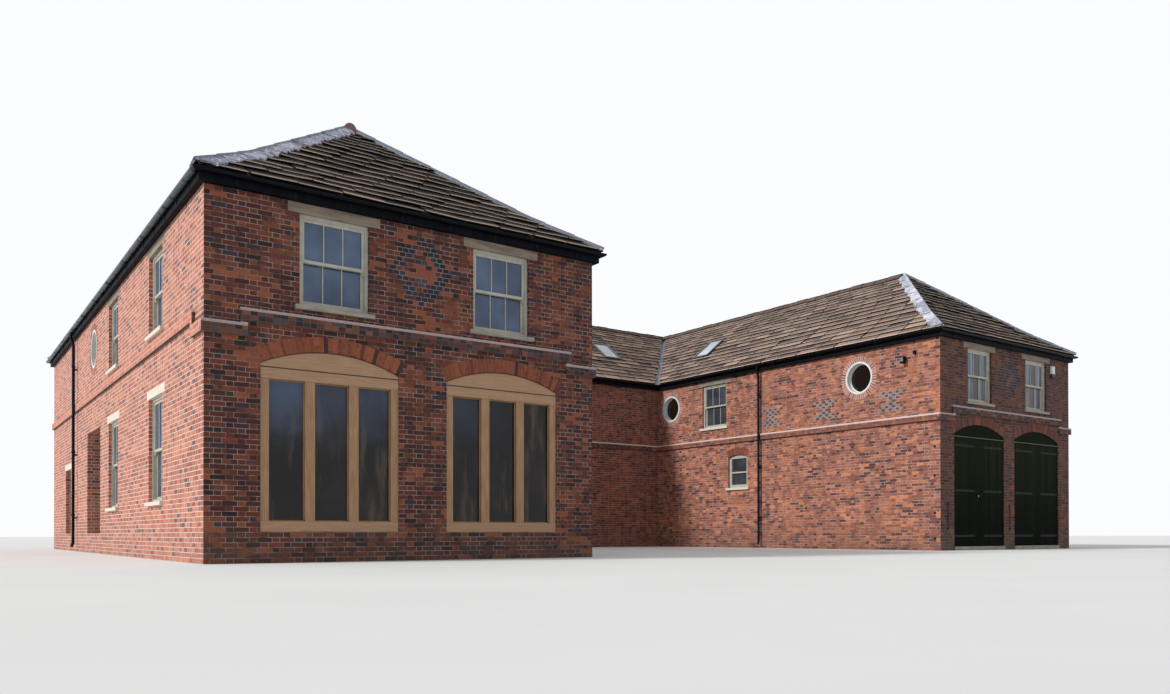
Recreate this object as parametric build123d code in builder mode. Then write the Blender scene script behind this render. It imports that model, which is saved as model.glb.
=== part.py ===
from build123d import *
import os
from math import asin, cos, sin, sqrt

os.makedirs("parts", exist_ok=True)

# A coach house: three ranges of two storeys round a court that is open to the front.
# Millimetres, +Z up, front towards -Y, origin on the ground at the middle of the plan.

# Plan of the three ranges
LEFT_WING_WIDTH = 7250
RIGHT_WING_WIDTH = 6750
COURT_WIDTH = 11560
COURT_DEPTH = 11730
BACK_RANGE_DEPTH = 7220

# Masonry: one and a half bricks thick, in courses of this height
WALL_THICKNESS = 340
COURSE = 80
WALL_HEIGHT = 72 * COURSE

# Floors
HOUSE_FLOOR_LEVEL = 480
COACH_FLOOR_LEVEL = 100
UPPER_FLOOR_LEVEL = 3700
UPPER_FLOOR_THICKNESS = 200
SLAB_JOINT = 10

# Sash windows of the upper storey, under stone lintels that reach the wall head
SASH_WIDTH = 1180
SASH_SILL_LEVEL = 4120
LINTEL_HEIGHT = 2 * COURSE
LINTEL_BEARING = 190
SILL_THICKNESS = 70
SILL_BEARING = 80
SILL_PROJECTION = 60
LEFT_SASH_SHIFT = 40
RIGHT_SASH_SHIFT = 20
FRAME_SETBACK = 65
FRAME_DEPTH = 130
FRAME_WIDTH = 55
SASH_STILE = 50
SASH_THICKNESS = 45
MEETING_RAIL = 50
GLASS_THICKNESS = 8

# Windows of the ground storey
GROUND_WINDOW_SILL_LEVEL = 1040
GROUND_WINDOW_HEAD_LEVEL = 2960
COURT_WINDOW_WIDTH = 900
COURT_WINDOW_SILL_LEVEL = 2000
COURT_WINDOW_SPRING_LEVEL = 3030
COURT_WINDOW_RISE = 90
COURT_WINDOW_ARCH_DEPTH = 225

# Round windows, each in a ring of bricks on edge
OCULUS_LEVEL = 5000
OCULUS_RADIUS = 480
OCULUS_RING_WIDTH = 150
OCULUS_FRAME_WIDTH = 62
OCULUS_SASH_WIDTH = 30
OCULUS_FRAME_DEPTH = 190

# Arches of the left wing, with oak screens in them
SCREEN_CORNER_PIER = 845
SCREEN_MIDDLE_PIER = 900
SCREEN_ARCH_SPRING = 3150
SCREEN_ARCH_RISE = 260
SCREEN_SETBACK = 25
SCREEN_DEPTH = 140
SCREEN_POST = 140
SCREEN_MULLION = 165
SCREEN_HEAD_LOW = 2900
SCREEN_HEAD_TOP = 3080
SCREEN_RAIL = 180

# Arches of the right wing, with coach doors in them
COACH_CORNER_PIER = 635
COACH_MIDDLE_PIER = 540
COACH_ARCH_SPRING = 3200
COACH_ARCH_RISE = 290
ARCH_RING_DEPTH = 240

# Coach doors
THRESHOLD_PROJECTION = 30
DOOR_SETBACK = 25
DOOR_SIDE_GAP = 8
DOOR_MEETING_GAP = 12
DOOR_FOOT_GAP = 20
DOOR_HEAD_GAP = 12
DOOR_BOARDS = 28
DOOR_LEDGE_DEPTH = 32
DOOR_LEDGE_HEIGHT = 170
DOOR_BRACE_WIDTH = 120
DOOR_FRAME_GAP = 8
DOOR_FRAME_POST = 75
DOOR_FRAME_DEPTH = 100
DOOR_TRANSOM_HEIGHT = 100

# Strap hinges on pintles
PIN_RADIUS = 7
PIN_CLEARANCE = 0.5
PIN_INSET = 18
PIN_SETBACK = 5
EYE_WALL = 5
EYE_HEIGHT = 60
STRAP_LENGTH = 1000
STRAP_HEIGHT = 60
STRAP_THICKNESS = 8
STRAP_LEVELS = (390, 1640, 2880)
PINTLE_ARM = 12

# String course: low at the court and at the front corners, raised elsewhere
STRING_LOW_TOP = 3710
STRING_RAISED_TOP = 3950
STRING_HEIGHT = 190
STRING_PROJECTION = 55
STRING_CORNER = 640
STRING_LEG = 110

# Doorways in the left wing's outer wall, measured from the front corner
GARDEN_DOORWAY_CENTRE = 10800
GARDEN_DOORWAY_WIDTH = 2050
GARDEN_DOORWAY_HEAD = 3000
SIDE_DOORWAY_CENTRE = 15500
SIDE_DOORWAY_WIDTH = 1050
SIDE_DOORWAY_HEAD = 2300
SIDE_LINTEL_BEARING = 200

# Roof: level of the slates at the eaves and at the ridge, with a bell-cast foot
EAVES_REACH = 170
EAVES_LEVEL = 6010
RIDGE_LEVEL = 8770
HIP_RUN = 3500
BELL_RUN_SHARE = 0.28
BELL_RISE_SHARE = 0.25
ROOF_DEPTH = 220
SLATE_DEPTH = 70
FASCIA_REACH = 100
FASCIA_THICKNESS = 25
HIP_LEAD_REACH = 240
TRIMMED_LEAD_REACH = 110
HIP_LEAD_THICKNESS = 25
VALLEY_LEAD_REACH = 90
VALLEY_LEAD_THICKNESS = 6
RIDGE_STONE_REACH = 170
RIDGE_STONE_THICKNESS = 50

# Rainwater goods
GUTTER_RADIUS = 56
GUTTER_WALL = 5
GUTTER_LIP_LEVEL = 5935
PIPE_RADIUS = 38
PIPE_BEND_RADIUS = 90
PIPE_FOOT_LEVEL = 120
PIPE_BRACKET_LEVELS = (900, 2600, 4900)

PIPE_BRACKET = 45
PIPE_WALL_GAP = 5
SWAN_NECK_LEVEL = 5560

# Rooflights, placed along their side and in from the slates' edge
ROOFLIGHT_WIDTH = 780
ROOFLIGHT_LENGTH = 1180
ROOFLIGHT_PROUD = 60
ROOFLIGHT_FRAME = 70
BACK_ROOFLIGHT_ALONG = 10500
BACK_ROOFLIGHT_RUN = 1970
RIGHT_ROOFLIGHT_ALONG = 1080
RIGHT_ROOFLIGHT_RUN = 1760

# Ironwork on the walls by the coach doors
STAY_FROM_CORNER = 330
STAY_TOP = 1290
STAY_FOOT = 560
STAY_PLATE = 60
STAY_WIDTH = 22
STAY_THICKNESS = 10
ANCHOR_FROM_CORNER = 170
ANCHOR_PLATE = 60
ANCHOR_LEVELS = (300, 980, 2000, 2780)

# Lamp, sensor and alarm box
LAMP_FROM_CORNER = 1090
LAMP_LEVEL = 5270
LAMP_PLATE = 90
LAMP_ARM = 50
LAMP_WIDTH = 120
LAMP_HEIGHT = 190
LAMP_DEPTH = 110
LAMP_ROUNDING = 12
SENSOR_FROM_CORNER = 760
SENSOR_LEVEL = 5390
SENSOR_WIDTH = 70
SENSOR_HEIGHT = 100
ALARM_FROM_CORNER = 5745
ALARM_LEVEL = 5185
ALARM_WIDTH = 175
ALARM_HEIGHT = 355
ALARM_DEPTH = 75
ALARM_ROUNDING = 28

WIDTH = LEFT_WING_WIDTH + COURT_WIDTH + RIGHT_WING_WIDTH
DEPTH = COURT_DEPTH + BACK_RANGE_DEPTH
LEFT = -WIDTH / 2
RIGHT = WIDTH / 2
FRONT = -DEPTH / 2
BACK = DEPTH / 2
COURT_LEFT = LEFT + LEFT_WING_WIDTH
COURT_RIGHT = RIGHT - RIGHT_WING_WIDTH
COURT_BACK = BACK - BACK_RANGE_DEPTH
SASH_HEAD_LEVEL = WALL_HEIGHT - LINTEL_HEIGHT
UP = Vector(0, 0, 1)

# The eight sides in order round the plan, each with the outside on its right-hand side
(LEFT_FRONT, LEFT_COURT, BACK_COURT, RIGHT_COURT,
 RIGHT_FRONT, RIGHT_OUTER, REAR, LEFT_OUTER) = range(8)
RANGE_OF_SIDE = {
    LEFT_FRONT: "left_wing", LEFT_COURT: "left_wing", LEFT_OUTER: "left_wing",
    BACK_COURT: "back_range", REAR: "back_range",
    RIGHT_COURT: "right_wing", RIGHT_FRONT: "right_wing", RIGHT_OUTER: "right_wing",
}

# Arches fill the front of each wing between its piers, and sashes stand almost over them
SCREEN_ARCH_WIDTH = (LEFT_WING_WIDTH - 2 * SCREEN_CORNER_PIER - SCREEN_MIDDLE_PIER) / 2
SCREEN_ARCH_SPACING = SCREEN_ARCH_WIDTH + SCREEN_MIDDLE_PIER
LEFT_WINDOW_SPACING = SCREEN_ARCH_SPACING - 2 * LEFT_SASH_SHIFT
COACH_ARCH_WIDTH = (RIGHT_WING_WIDTH - 2 * COACH_CORNER_PIER - COACH_MIDDLE_PIER) / 2
COACH_ARCH_SPACING = COACH_ARCH_WIDTH + COACH_MIDDLE_PIER
RIGHT_WINDOW_SPACING = COACH_ARCH_SPACING - 2 * RIGHT_SASH_SHIFT

# Windows, as distances along their side from its start
LEFT_BAYS = [LEFT_WING_WIDTH / 2 + k * LEFT_WINDOW_SPACING / 2 for k in (-1, 1)]
RIGHT_BAYS = [RIGHT_WING_WIDTH / 2 + k * RIGHT_WINDOW_SPACING / 2 for k in (-1, 1)]
SCREEN_BAYS = [LEFT_WING_WIDTH / 2 + k * SCREEN_ARCH_SPACING / 2 for k in (-1, 1)]
COACH_BAYS = [RIGHT_WING_WIDTH / 2 + k * COACH_ARCH_SPACING / 2 for k in (-1, 1)]
COURT_SASH_FROM_FRONT = COURT_DEPTH - 3000
COURT_WINDOW_FROM_FRONT = COURT_DEPTH - 4130
COURT_OCULI_FROM_FRONT = (2660, COURT_DEPTH - 730)
OUTER_WINDOWS_FROM_FRONT = (3500, 8000)
OUTER_PIPE_FROM_FRONT = 13680
COURT_PIPE_FROM_FRONT = 6560
REAR_BAY_SPACING = 4000
REAR_BAYS = [WIDTH / 2 + REAR_BAY_SPACING * (k - 2.5) for k in range(6)]
RIGHT_OUTER_BAY_SPACING = 4200
RIGHT_OUTER_BAYS = [DEPTH / 2 + RIGHT_OUTER_BAY_SPACING * (k - 1.5) for k in range(4)]
BACK_COURT_BAYS = [3000, 6500]

UPPER_SASHES = {
    LEFT_FRONT: LEFT_BAYS,
    LEFT_COURT: [COURT_SASH_FROM_FRONT],
    BACK_COURT: BACK_COURT_BAYS,
    RIGHT_COURT: [COURT_DEPTH - COURT_SASH_FROM_FRONT],
    RIGHT_FRONT: RIGHT_BAYS,
    RIGHT_OUTER: RIGHT_OUTER_BAYS,
    REAR: REAR_BAYS,
    LEFT_OUTER: [DEPTH - y for y in OUTER_WINDOWS_FROM_FRONT],
}
GROUND_SASHES = {
    RIGHT_OUTER: RIGHT_OUTER_BAYS,
    REAR: REAR_BAYS,
    LEFT_OUTER: [DEPTH - y for y in OUTER_WINDOWS_FROM_FRONT],
}
COURT_WINDOWS = {
    LEFT_COURT: [COURT_WINDOW_FROM_FRONT],
    BACK_COURT: BACK_COURT_BAYS,
    RIGHT_COURT: [COURT_DEPTH - COURT_WINDOW_FROM_FRONT],
}
SIDE_DOORWAYS = {LEFT_OUTER: [DEPTH - SIDE_DOORWAY_CENTRE]}
DOWNPIPES = (
    (LEFT_OUTER, DEPTH - OUTER_PIPE_FROM_FRONT), (RIGHT_OUTER, OUTER_PIPE_FROM_FRONT),
    (LEFT_COURT, COURT_PIPE_FROM_FRONT), (RIGHT_COURT, COURT_DEPTH - COURT_PIPE_FROM_FRONT),
    (REAR, REAR_BAYS[0] + REAR_BAY_SPACING / 2), (REAR, REAR_BAYS[-1] - REAR_BAY_SPACING / 2),
)
OCULI = {
    LEFT_COURT: list(COURT_OCULI_FROM_FRONT),
    RIGHT_COURT: [COURT_DEPTH - y for y in COURT_OCULI_FROM_FRONT],
    LEFT_OUTER: [DEPTH - GARDEN_DOORWAY_CENTRE],
}


def keep(builder, name):
    """Label a finished piece and write it under its name."""
    builder.part.label = name
    export_step(builder.part, f"parts/{name}.step")


def outline(reach):
    """Corners of the U-shaped plan, moved outwards from the wall faces by reach."""
    return [
        (LEFT - reach, FRONT - reach), (COURT_LEFT + reach, FRONT - reach),
        (COURT_LEFT + reach, COURT_BACK - reach), (COURT_RIGHT - reach, COURT_BACK - reach),
        (COURT_RIGHT - reach, FRONT - reach), (RIGHT + reach, FRONT - reach),
        (RIGHT + reach, BACK + reach), (LEFT - reach, BACK + reach),
    ]


def mitred_strip(side, outer, inner):
    """Plan of a strip along one side, mitred at both ends, between two reaches."""
    near, far = outline(outer), outline(-inner)
    after = (side + 1) % 8
    return [near[side], near[after], far[after], far[side]]


def side_length(side):
    start, end = outline(0)[side], outline(0)[(side + 1) % 8]
    return abs(end[0] - start[0]) + abs(end[1] - start[1])


def face(side, setback=0):
    """Plane of a side's outer face: x runs along it as seen from outside, y is up."""
    start, end = Vector(*outline(0)[side]), Vector(*outline(0)[(side + 1) % 8])
    along = (end - start).normalized()
    outwards = along.cross(UP)
    return Plane(origin=start - outwards * setback, x_dir=along, z_dir=outwards)


def section(side):
    """Plane square to a side at its start: x points out of the wall, y is up."""
    plane = face(side)
    return Plane(origin=plane.origin, x_dir=plane.z_dir, z_dir=plane.z_dir.cross(UP))


def wall_spots(places_of_side, level):
    """Locations on the walls at one level, each with x along its wall and z out of it."""
    return [face(side).location * Location((u, level, 0))
            for side, places in places_of_side.items() for u in places]


def rectangles(plane, places, width, low, high):
    """Equal upright rectangles on a wall plane, centred at places along it."""
    with BuildSketch(plane) as sketch:
        with Locations(*[(u, (low + high) / 2) for u in places]):
            Rectangle(width, high - low)
    return sketch.sketch


def circles(plane, places, radius):
    with BuildSketch(plane) as sketch:
        with Locations(*[(u, OCULUS_LEVEL) for u in places]):
            Circle(radius)
    return sketch.sketch


def arched(plane, places, width, low, spring, rise):
    """Upright openings with a segmental head."""
    with BuildSketch(plane) as sketch:
        for u in places:
            with BuildLine():
                ends = [(u - width / 2, spring), (u + width / 2, spring)]
                ThreePointArc(ends[0], (u, spring + rise), ends[1])
                Polyline(ends[1], (u + width / 2, low), (u - width / 2, low), ends[0])
            make_face()
    return sketch.sketch


def arch_ring(plane, places, width, spring, rise, depth, solid=False):
    """Ring of a segmental arch with radial ends, or the whole area under its back."""
    radius = (width ** 2 / 4 + rise ** 2) / (2 * rise)
    lean = asin(width / 2 / radius)
    centre = spring + rise - radius
    with BuildSketch(plane) as sketch:
        for u in places:
            inner = [(u + s * radius * sin(lean), spring) for s in (-1, 1)]
            back = [(u + s * (radius + depth) * sin(lean), centre + (radius + depth) * cos(lean))
                    for s in (-1, 1)]
            with BuildLine():
                ThreePointArc(back[0], (u, centre + radius + depth), back[1])
                Line(back[1], inner[1])
                if solid:
                    Line(inner[1], inner[0])
                else:
                    ThreePointArc(inner[1], (u, spring + rise), inner[0])
                Line(inner[0], back[0])
            make_face()
    return sketch.sketch


def wall_openings(side):
    """Everything cut through one side's wall, as sketches on its face."""
    plane = face(side)
    cuts = []
    if side in UPPER_SASHES:
        places = UPPER_SASHES[side]
        cuts.append(rectangles(plane, places, SASH_WIDTH, SASH_SILL_LEVEL, SASH_HEAD_LEVEL))
        cuts.append(lintel_shapes(plane, places, SASH_HEAD_LEVEL))
        cuts.append(sill_shapes(plane, places, SASH_WIDTH, SASH_SILL_LEVEL))
    if side in GROUND_SASHES:
        places = GROUND_SASHES[side]
        cuts.append(rectangles(plane, places, SASH_WIDTH, GROUND_WINDOW_SILL_LEVEL,
                               GROUND_WINDOW_HEAD_LEVEL))
        cuts.append(lintel_shapes(plane, places, GROUND_WINDOW_HEAD_LEVEL))
        cuts.append(sill_shapes(plane, places, SASH_WIDTH, GROUND_WINDOW_SILL_LEVEL))
    if side in COURT_WINDOWS:
        places = COURT_WINDOWS[side]
        cuts.append(rectangles(plane, places, COURT_WINDOW_WIDTH, COURT_WINDOW_SILL_LEVEL,
                               COURT_WINDOW_SPRING_LEVEL))
        cuts.append(arch_ring(plane, places, COURT_WINDOW_WIDTH, COURT_WINDOW_SPRING_LEVEL,
                              COURT_WINDOW_RISE, COURT_WINDOW_ARCH_DEPTH, solid=True))
        cuts.append(sill_shapes(plane, places, COURT_WINDOW_WIDTH, COURT_WINDOW_SILL_LEVEL))
    if side in OCULI:
        cuts.append(circles(plane, OCULI[side], OCULUS_RADIUS + OCULUS_RING_WIDTH))
    if side == LEFT_FRONT:
        cuts.append(rectangles(plane, SCREEN_BAYS, SCREEN_ARCH_WIDTH, HOUSE_FLOOR_LEVEL,
                               SCREEN_ARCH_SPRING))
        cuts.append(arch_ring(plane, SCREEN_BAYS, SCREEN_ARCH_WIDTH, SCREEN_ARCH_SPRING,
                              SCREEN_ARCH_RISE, ARCH_RING_DEPTH, solid=True))
    if side == RIGHT_FRONT:
        cuts.append(rectangles(plane, COACH_BAYS, COACH_ARCH_WIDTH, 0, COACH_ARCH_SPRING))
        cuts.append(arch_ring(plane, COACH_BAYS, COACH_ARCH_WIDTH, COACH_ARCH_SPRING,
                              COACH_ARCH_RISE, ARCH_RING_DEPTH, solid=True))
    if side in SIDE_DOORWAYS:
        cuts.append(rectangles(plane, SIDE_DOORWAYS[side],
                               SIDE_DOORWAY_WIDTH + 2 * SIDE_LINTEL_BEARING,
                               SIDE_DOORWAY_HEAD, SIDE_DOORWAY_HEAD + LINTEL_HEIGHT))
    return cuts


def lintel_shapes(plane, places, head):
    return rectangles(plane, places, SASH_WIDTH + 2 * LINTEL_BEARING, head, head + LINTEL_HEIGHT)


def sill_shapes(plane, places, width, level):
    return rectangles(plane, places, width + 2 * SILL_BEARING, level - SILL_THICKNESS, level)


def wall(name, side, pieces):
    """One side's wall, or the stretches (from, to, low, high) of it, less its openings."""
    with BuildPart() as masonry:
        with BuildSketch(Plane.XY):
            with BuildLine():
                Polyline(*mitred_strip(side, 0, WALL_THICKNESS), close=True)
            make_face()
        extrude(amount=WALL_HEIGHT)
        with BuildSketch(face(side, -WALL_THICKNESS)):
            for start, end, low, high in pieces:
                with Locations(((start + end) / 2, (low + high) / 2)):
                    Rectangle(end - start, high - low)
        extrude(amount=-3 * WALL_THICKNESS, mode=Mode.INTERSECT)
        for cut in wall_openings(side):
            extrude(cut, amount=-2 * WALL_THICKNESS, mode=Mode.SUBTRACT)
    keep(masonry, name)


def whole_wall(side):
    beyond = WALL_THICKNESS
    return [(-beyond, side_length(side) + beyond, 0, WALL_HEIGHT)]


wall("left_wing_front_wall", LEFT_FRONT, whole_wall(LEFT_FRONT))
wall("left_wing_court_wall", LEFT_COURT, whole_wall(LEFT_COURT))
wall("back_range_court_wall", BACK_COURT, whole_wall(BACK_COURT))
wall("right_wing_court_wall", RIGHT_COURT, whole_wall(RIGHT_COURT))
wall("right_wing_outer_wall", RIGHT_OUTER, whole_wall(RIGHT_OUTER))
wall("back_range_rear_wall", REAR, whole_wall(REAR))
wall("right_wing_front_piers", RIGHT_FRONT, [(0, RIGHT_WING_WIDTH, 0, COACH_ARCH_SPRING)])
wall("right_wing_front_upper_wall", RIGHT_FRONT,
     [(0, RIGHT_WING_WIDTH, COACH_ARCH_SPRING, WALL_HEIGHT)])

# The outer wall of the left wing is split beside, over and under its two doorways
garden = [DEPTH - GARDEN_DOORWAY_CENTRE + k * GARDEN_DOORWAY_WIDTH / 2 for k in (-1, 1)]
side_door = [DEPTH - SIDE_DOORWAY_CENTRE + k * SIDE_DOORWAY_WIDTH / 2 for k in (-1, 1)]
wall("left_wing_outer_wall", LEFT_OUTER, [(garden[1], DEPTH, 0, WALL_HEIGHT)])
wall("left_wing_outer_piers", LEFT_OUTER,
     [(0, side_door[0], 0, WALL_HEIGHT), (side_door[1], garden[0], 0, WALL_HEIGHT)])
wall("left_wing_doorway_walls", LEFT_OUTER,
     [(side_door[0], side_door[1], 0, HOUSE_FLOOR_LEVEL),
      (side_door[0], side_door[1], SIDE_DOORWAY_HEAD, WALL_HEIGHT),
      (garden[0], garden[1], 0, HOUSE_FLOOR_LEVEL),
      (garden[0], garden[1], GARDEN_DOORWAY_HEAD, WALL_HEIGHT)])

# Brick arches and the rings of the round windows, right through the wall
with BuildPart() as left_wing_arches:
    ring = arch_ring(face(LEFT_FRONT), SCREEN_BAYS, SCREEN_ARCH_WIDTH, SCREEN_ARCH_SPRING,
                     SCREEN_ARCH_RISE, ARCH_RING_DEPTH)
    extrude(ring, amount=-WALL_THICKNESS)
keep(left_wing_arches, "left_wing_arches")

with BuildPart() as right_wing_arches:
    ring = arch_ring(face(RIGHT_FRONT), COACH_BAYS, COACH_ARCH_WIDTH, COACH_ARCH_SPRING,
                     COACH_ARCH_RISE, ARCH_RING_DEPTH)
    extrude(ring, amount=-WALL_THICKNESS)
keep(right_wing_arches, "right_wing_arches")

with BuildPart() as court_window_arches:
    for side, places in COURT_WINDOWS.items():
        ring = arch_ring(face(side), places, COURT_WINDOW_WIDTH, COURT_WINDOW_SPRING_LEVEL,
                         COURT_WINDOW_RISE, COURT_WINDOW_ARCH_DEPTH)
        extrude(ring, amount=-WALL_THICKNESS)
keep(court_window_arches, "court_window_arches")

with BuildPart() as oculus_rings:
    for side, places in OCULI.items():
        extrude(circles(face(side), places, OCULUS_RADIUS + OCULUS_RING_WIDTH),
                amount=-WALL_THICKNESS)
    for side, places in OCULI.items():
        extrude(circles(face(side), places, OCULUS_RADIUS), amount=-WALL_THICKNESS,
                mode=Mode.SUBTRACT)
keep(oculus_rings, "oculus_rings")

# Stone lintels and sills
with BuildPart() as stone_lintels:
    spots = (wall_spots(UPPER_SASHES, SASH_HEAD_LEVEL)
             + wall_spots(GROUND_SASHES, GROUND_WINDOW_HEAD_LEVEL))
    with Locations(*spots):
        with Locations((0, LINTEL_HEIGHT / 2, -WALL_THICKNESS / 2)):
            Box(SASH_WIDTH + 2 * LINTEL_BEARING, LINTEL_HEIGHT, WALL_THICKNESS)
    with Locations(*wall_spots(SIDE_DOORWAYS, SIDE_DOORWAY_HEAD + LINTEL_HEIGHT / 2)):
        with Locations((0, 0, -WALL_THICKNESS / 2)):
            Box(SIDE_DOORWAY_WIDTH + 2 * SIDE_LINTEL_BEARING, LINTEL_HEIGHT, WALL_THICKNESS)
keep(stone_lintels, "stone_lintels")

with BuildPart() as stone_sills:
    sash_spots = (wall_spots(UPPER_SASHES, SASH_SILL_LEVEL)
                  + wall_spots(GROUND_SASHES, GROUND_WINDOW_SILL_LEVEL))
    court_spots = wall_spots(COURT_WINDOWS, COURT_WINDOW_SILL_LEVEL)
    for spots, width in ((sash_spots, SASH_WIDTH), (court_spots, COURT_WINDOW_WIDTH)):
        with Locations(*spots):
            with Locations((0, -SILL_THICKNESS / 2, (SILL_PROJECTION - WALL_THICKNESS) / 2)):
                Box(width + 2 * SILL_BEARING, SILL_THICKNESS, WALL_THICKNESS + SILL_PROJECTION)
keep(stone_sills, "stone_sills")


def string_course(side, start, end):
    """A side's band: low beyond its start or end where those are True, raised between."""
    length = side_length(side)
    low, high = STRING_LOW_TOP - STRING_HEIGHT, STRING_RAISED_TOP - STRING_HEIGHT
    raised_from = STRING_CORNER - STRING_LEG if start else 0
    raised_to = length - STRING_CORNER + STRING_LEG if end else length
    with BuildSketch(face(side)) as band:
        with Locations(((raised_from + raised_to) / 2, high + STRING_HEIGHT / 2)):
            Rectangle(raised_to - raised_from, STRING_HEIGHT)
        for here, u in ((start, STRING_CORNER / 2), (end, length - STRING_CORNER / 2)):
            if here:
                with Locations((u, low + STRING_HEIGHT / 2)):
                    Rectangle(STRING_CORNER, STRING_HEIGHT)
        for here, u in ((start, STRING_CORNER - STRING_LEG / 2),
                        (end, length - STRING_CORNER + STRING_LEG / 2)):
            if here:
                with Locations((u, (low + STRING_RAISED_TOP) / 2)):
                    Rectangle(STRING_LEG, STRING_RAISED_TOP - low)
    return band.sketch


def low_string(side):
    return rectangles(face(side), [side_length(side) / 2], side_length(side),
                      STRING_LOW_TOP - STRING_HEIGHT, STRING_LOW_TOP)


def corner_block(corner, top):
    """Square that carries a band round an outer corner of the building."""
    x, y = outline(STRING_PROJECTION / 2)[corner]
    with Locations((x, y, top - STRING_HEIGHT / 2)):
        Box(STRING_PROJECTION, STRING_PROJECTION, STRING_HEIGHT)


with BuildPart() as string_courses:
    extrude(string_course(LEFT_FRONT, True, True), amount=STRING_PROJECTION)
    extrude(string_course(RIGHT_FRONT, True, True), amount=STRING_PROJECTION)
    extrude(string_course(RIGHT_OUTER, True, False), amount=STRING_PROJECTION)
    extrude(string_course(LEFT_OUTER, False, True), amount=STRING_PROJECTION)
    extrude(string_course(REAR, False, False), amount=STRING_PROJECTION)
    for side in (LEFT_COURT, BACK_COURT, RIGHT_COURT):
        extrude(low_string(side), amount=STRING_PROJECTION)
    for corner in (LEFT_FRONT, LEFT_COURT, RIGHT_FRONT, RIGHT_OUTER):
        corner_block(corner, STRING_LOW_TOP)
    for corner in (REAR, LEFT_OUTER):
        corner_block(corner, STRING_RAISED_TOP)
keep(string_courses, "string_courses")


# Each kind of window is made once, upright with its sill at the origin and its face to +Z


def upright(width, low, high, setback, thickness, mode=Mode.ADD):
    """Slab of a window or leaf: its face lies a setback behind the wall's face."""
    with Locations((0, (low + high) / 2, -setback - thickness / 2)):
        Box(width, high - low, thickness, mode=mode)


def sash_lights(height):
    """Upper and lower sash of a window, as bottom and top of the glass and its setback."""
    middle = height / 2
    return ((middle + MEETING_RAIL / 2, height - FRAME_WIDTH - MEETING_RAIL, SASH_THICKNESS),
            (FRAME_WIDTH + MEETING_RAIL, middle - MEETING_RAIL / 2, 2 * SASH_THICKNESS))


def sash_frame(height):
    """Box frame with an outer upper sash and an inner lower sash that meet at a rail."""
    middle = height / 2
    inside = SASH_WIDTH - 2 * FRAME_WIDTH
    light = inside - 2 * SASH_STILE
    with BuildPart() as frame:
        upright(SASH_WIDTH, 0, height, FRAME_SETBACK, FRAME_DEPTH)
        upright(inside, middle - MEETING_RAIL / 2, height - FRAME_WIDTH, FRAME_SETBACK,
                SASH_THICKNESS / 2, Mode.SUBTRACT)
        upright(inside, FRAME_WIDTH, middle - MEETING_RAIL / 2, FRAME_SETBACK,
                1.5 * SASH_THICKNESS, Mode.SUBTRACT)
        for low, high, _ in sash_lights(height):
            upright(light, low, high, FRAME_SETBACK, FRAME_DEPTH, Mode.SUBTRACT)
    return frame.part


def sash_glass(height):
    light = SASH_WIDTH - 2 * FRAME_WIDTH - 2 * SASH_STILE
    with BuildPart() as glass:
        for low, high, setback in sash_lights(height):
            upright(light, low, high, FRAME_SETBACK + setback, GLASS_THICKNESS)
    return glass.part


COURT_LIGHT_WIDTH = COURT_WINDOW_WIDTH - 2 * FRAME_WIDTH - 2 * SASH_STILE
COURT_SPRING = COURT_WINDOW_SPRING_LEVEL - COURT_WINDOW_SILL_LEVEL
COURT_LIGHTS = ((FRAME_WIDTH + SASH_STILE, (COURT_SPRING - MEETING_RAIL) / 2),
                ((COURT_SPRING + MEETING_RAIL) / 2, COURT_SPRING - SASH_STILE))


def court_frame():
    """Frame under a segmental arch, with a middle rail."""
    with BuildPart() as frame:
        blank = arched(Plane.XY.offset(-FRAME_SETBACK), [0], COURT_WINDOW_WIDTH, 0,
                       COURT_SPRING, COURT_WINDOW_RISE)
        extrude(blank, amount=-FRAME_DEPTH)
        for low, high in COURT_LIGHTS:
            upright(COURT_LIGHT_WIDTH, low, high, FRAME_SETBACK, FRAME_DEPTH, Mode.SUBTRACT)
    return frame.part


def court_glass():
    with BuildPart() as glass:
        for low, high in COURT_LIGHTS:
            upright(COURT_LIGHT_WIDTH, low, high, FRAME_SETBACK + SASH_THICKNESS,
                    GLASS_THICKNESS)
    return glass.part


def disc(radius, setback, thickness, mode=Mode.ADD):
    with Locations((0, 0, -setback - thickness / 2)):
        Cylinder(radius, thickness, mode=mode)


def oculus_frame():
    """Deep round lining with a slim sash ring at its back."""
    lining = OCULUS_RADIUS - OCULUS_FRAME_WIDTH
    with BuildPart() as frame:
        disc(OCULUS_RADIUS, 0, OCULUS_FRAME_DEPTH)
        disc(lining, 0, OCULUS_FRAME_DEPTH - SASH_THICKNESS, Mode.SUBTRACT)
        disc(lining - OCULUS_SASH_WIDTH, 0, OCULUS_FRAME_DEPTH, Mode.SUBTRACT)
    return frame.part


def oculus_glass():
    with BuildPart() as glass:
        disc(OCULUS_RADIUS - OCULUS_FRAME_WIDTH - OCULUS_SASH_WIDTH,
             OCULUS_FRAME_DEPTH - SASH_THICKNESS / 2, GLASS_THICKNESS)
    return glass.part


def place_windows(wing, kinds):
    """Put every window, given as places, level and shape, in the walls of one range."""
    for places, level, window in kinds:
        here = {side: spots for side, spots in places.items() if RANGE_OF_SIDE[side] == wing}
        if here:
            with Locations(*wall_spots(here, level)):
                add(window)


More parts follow.
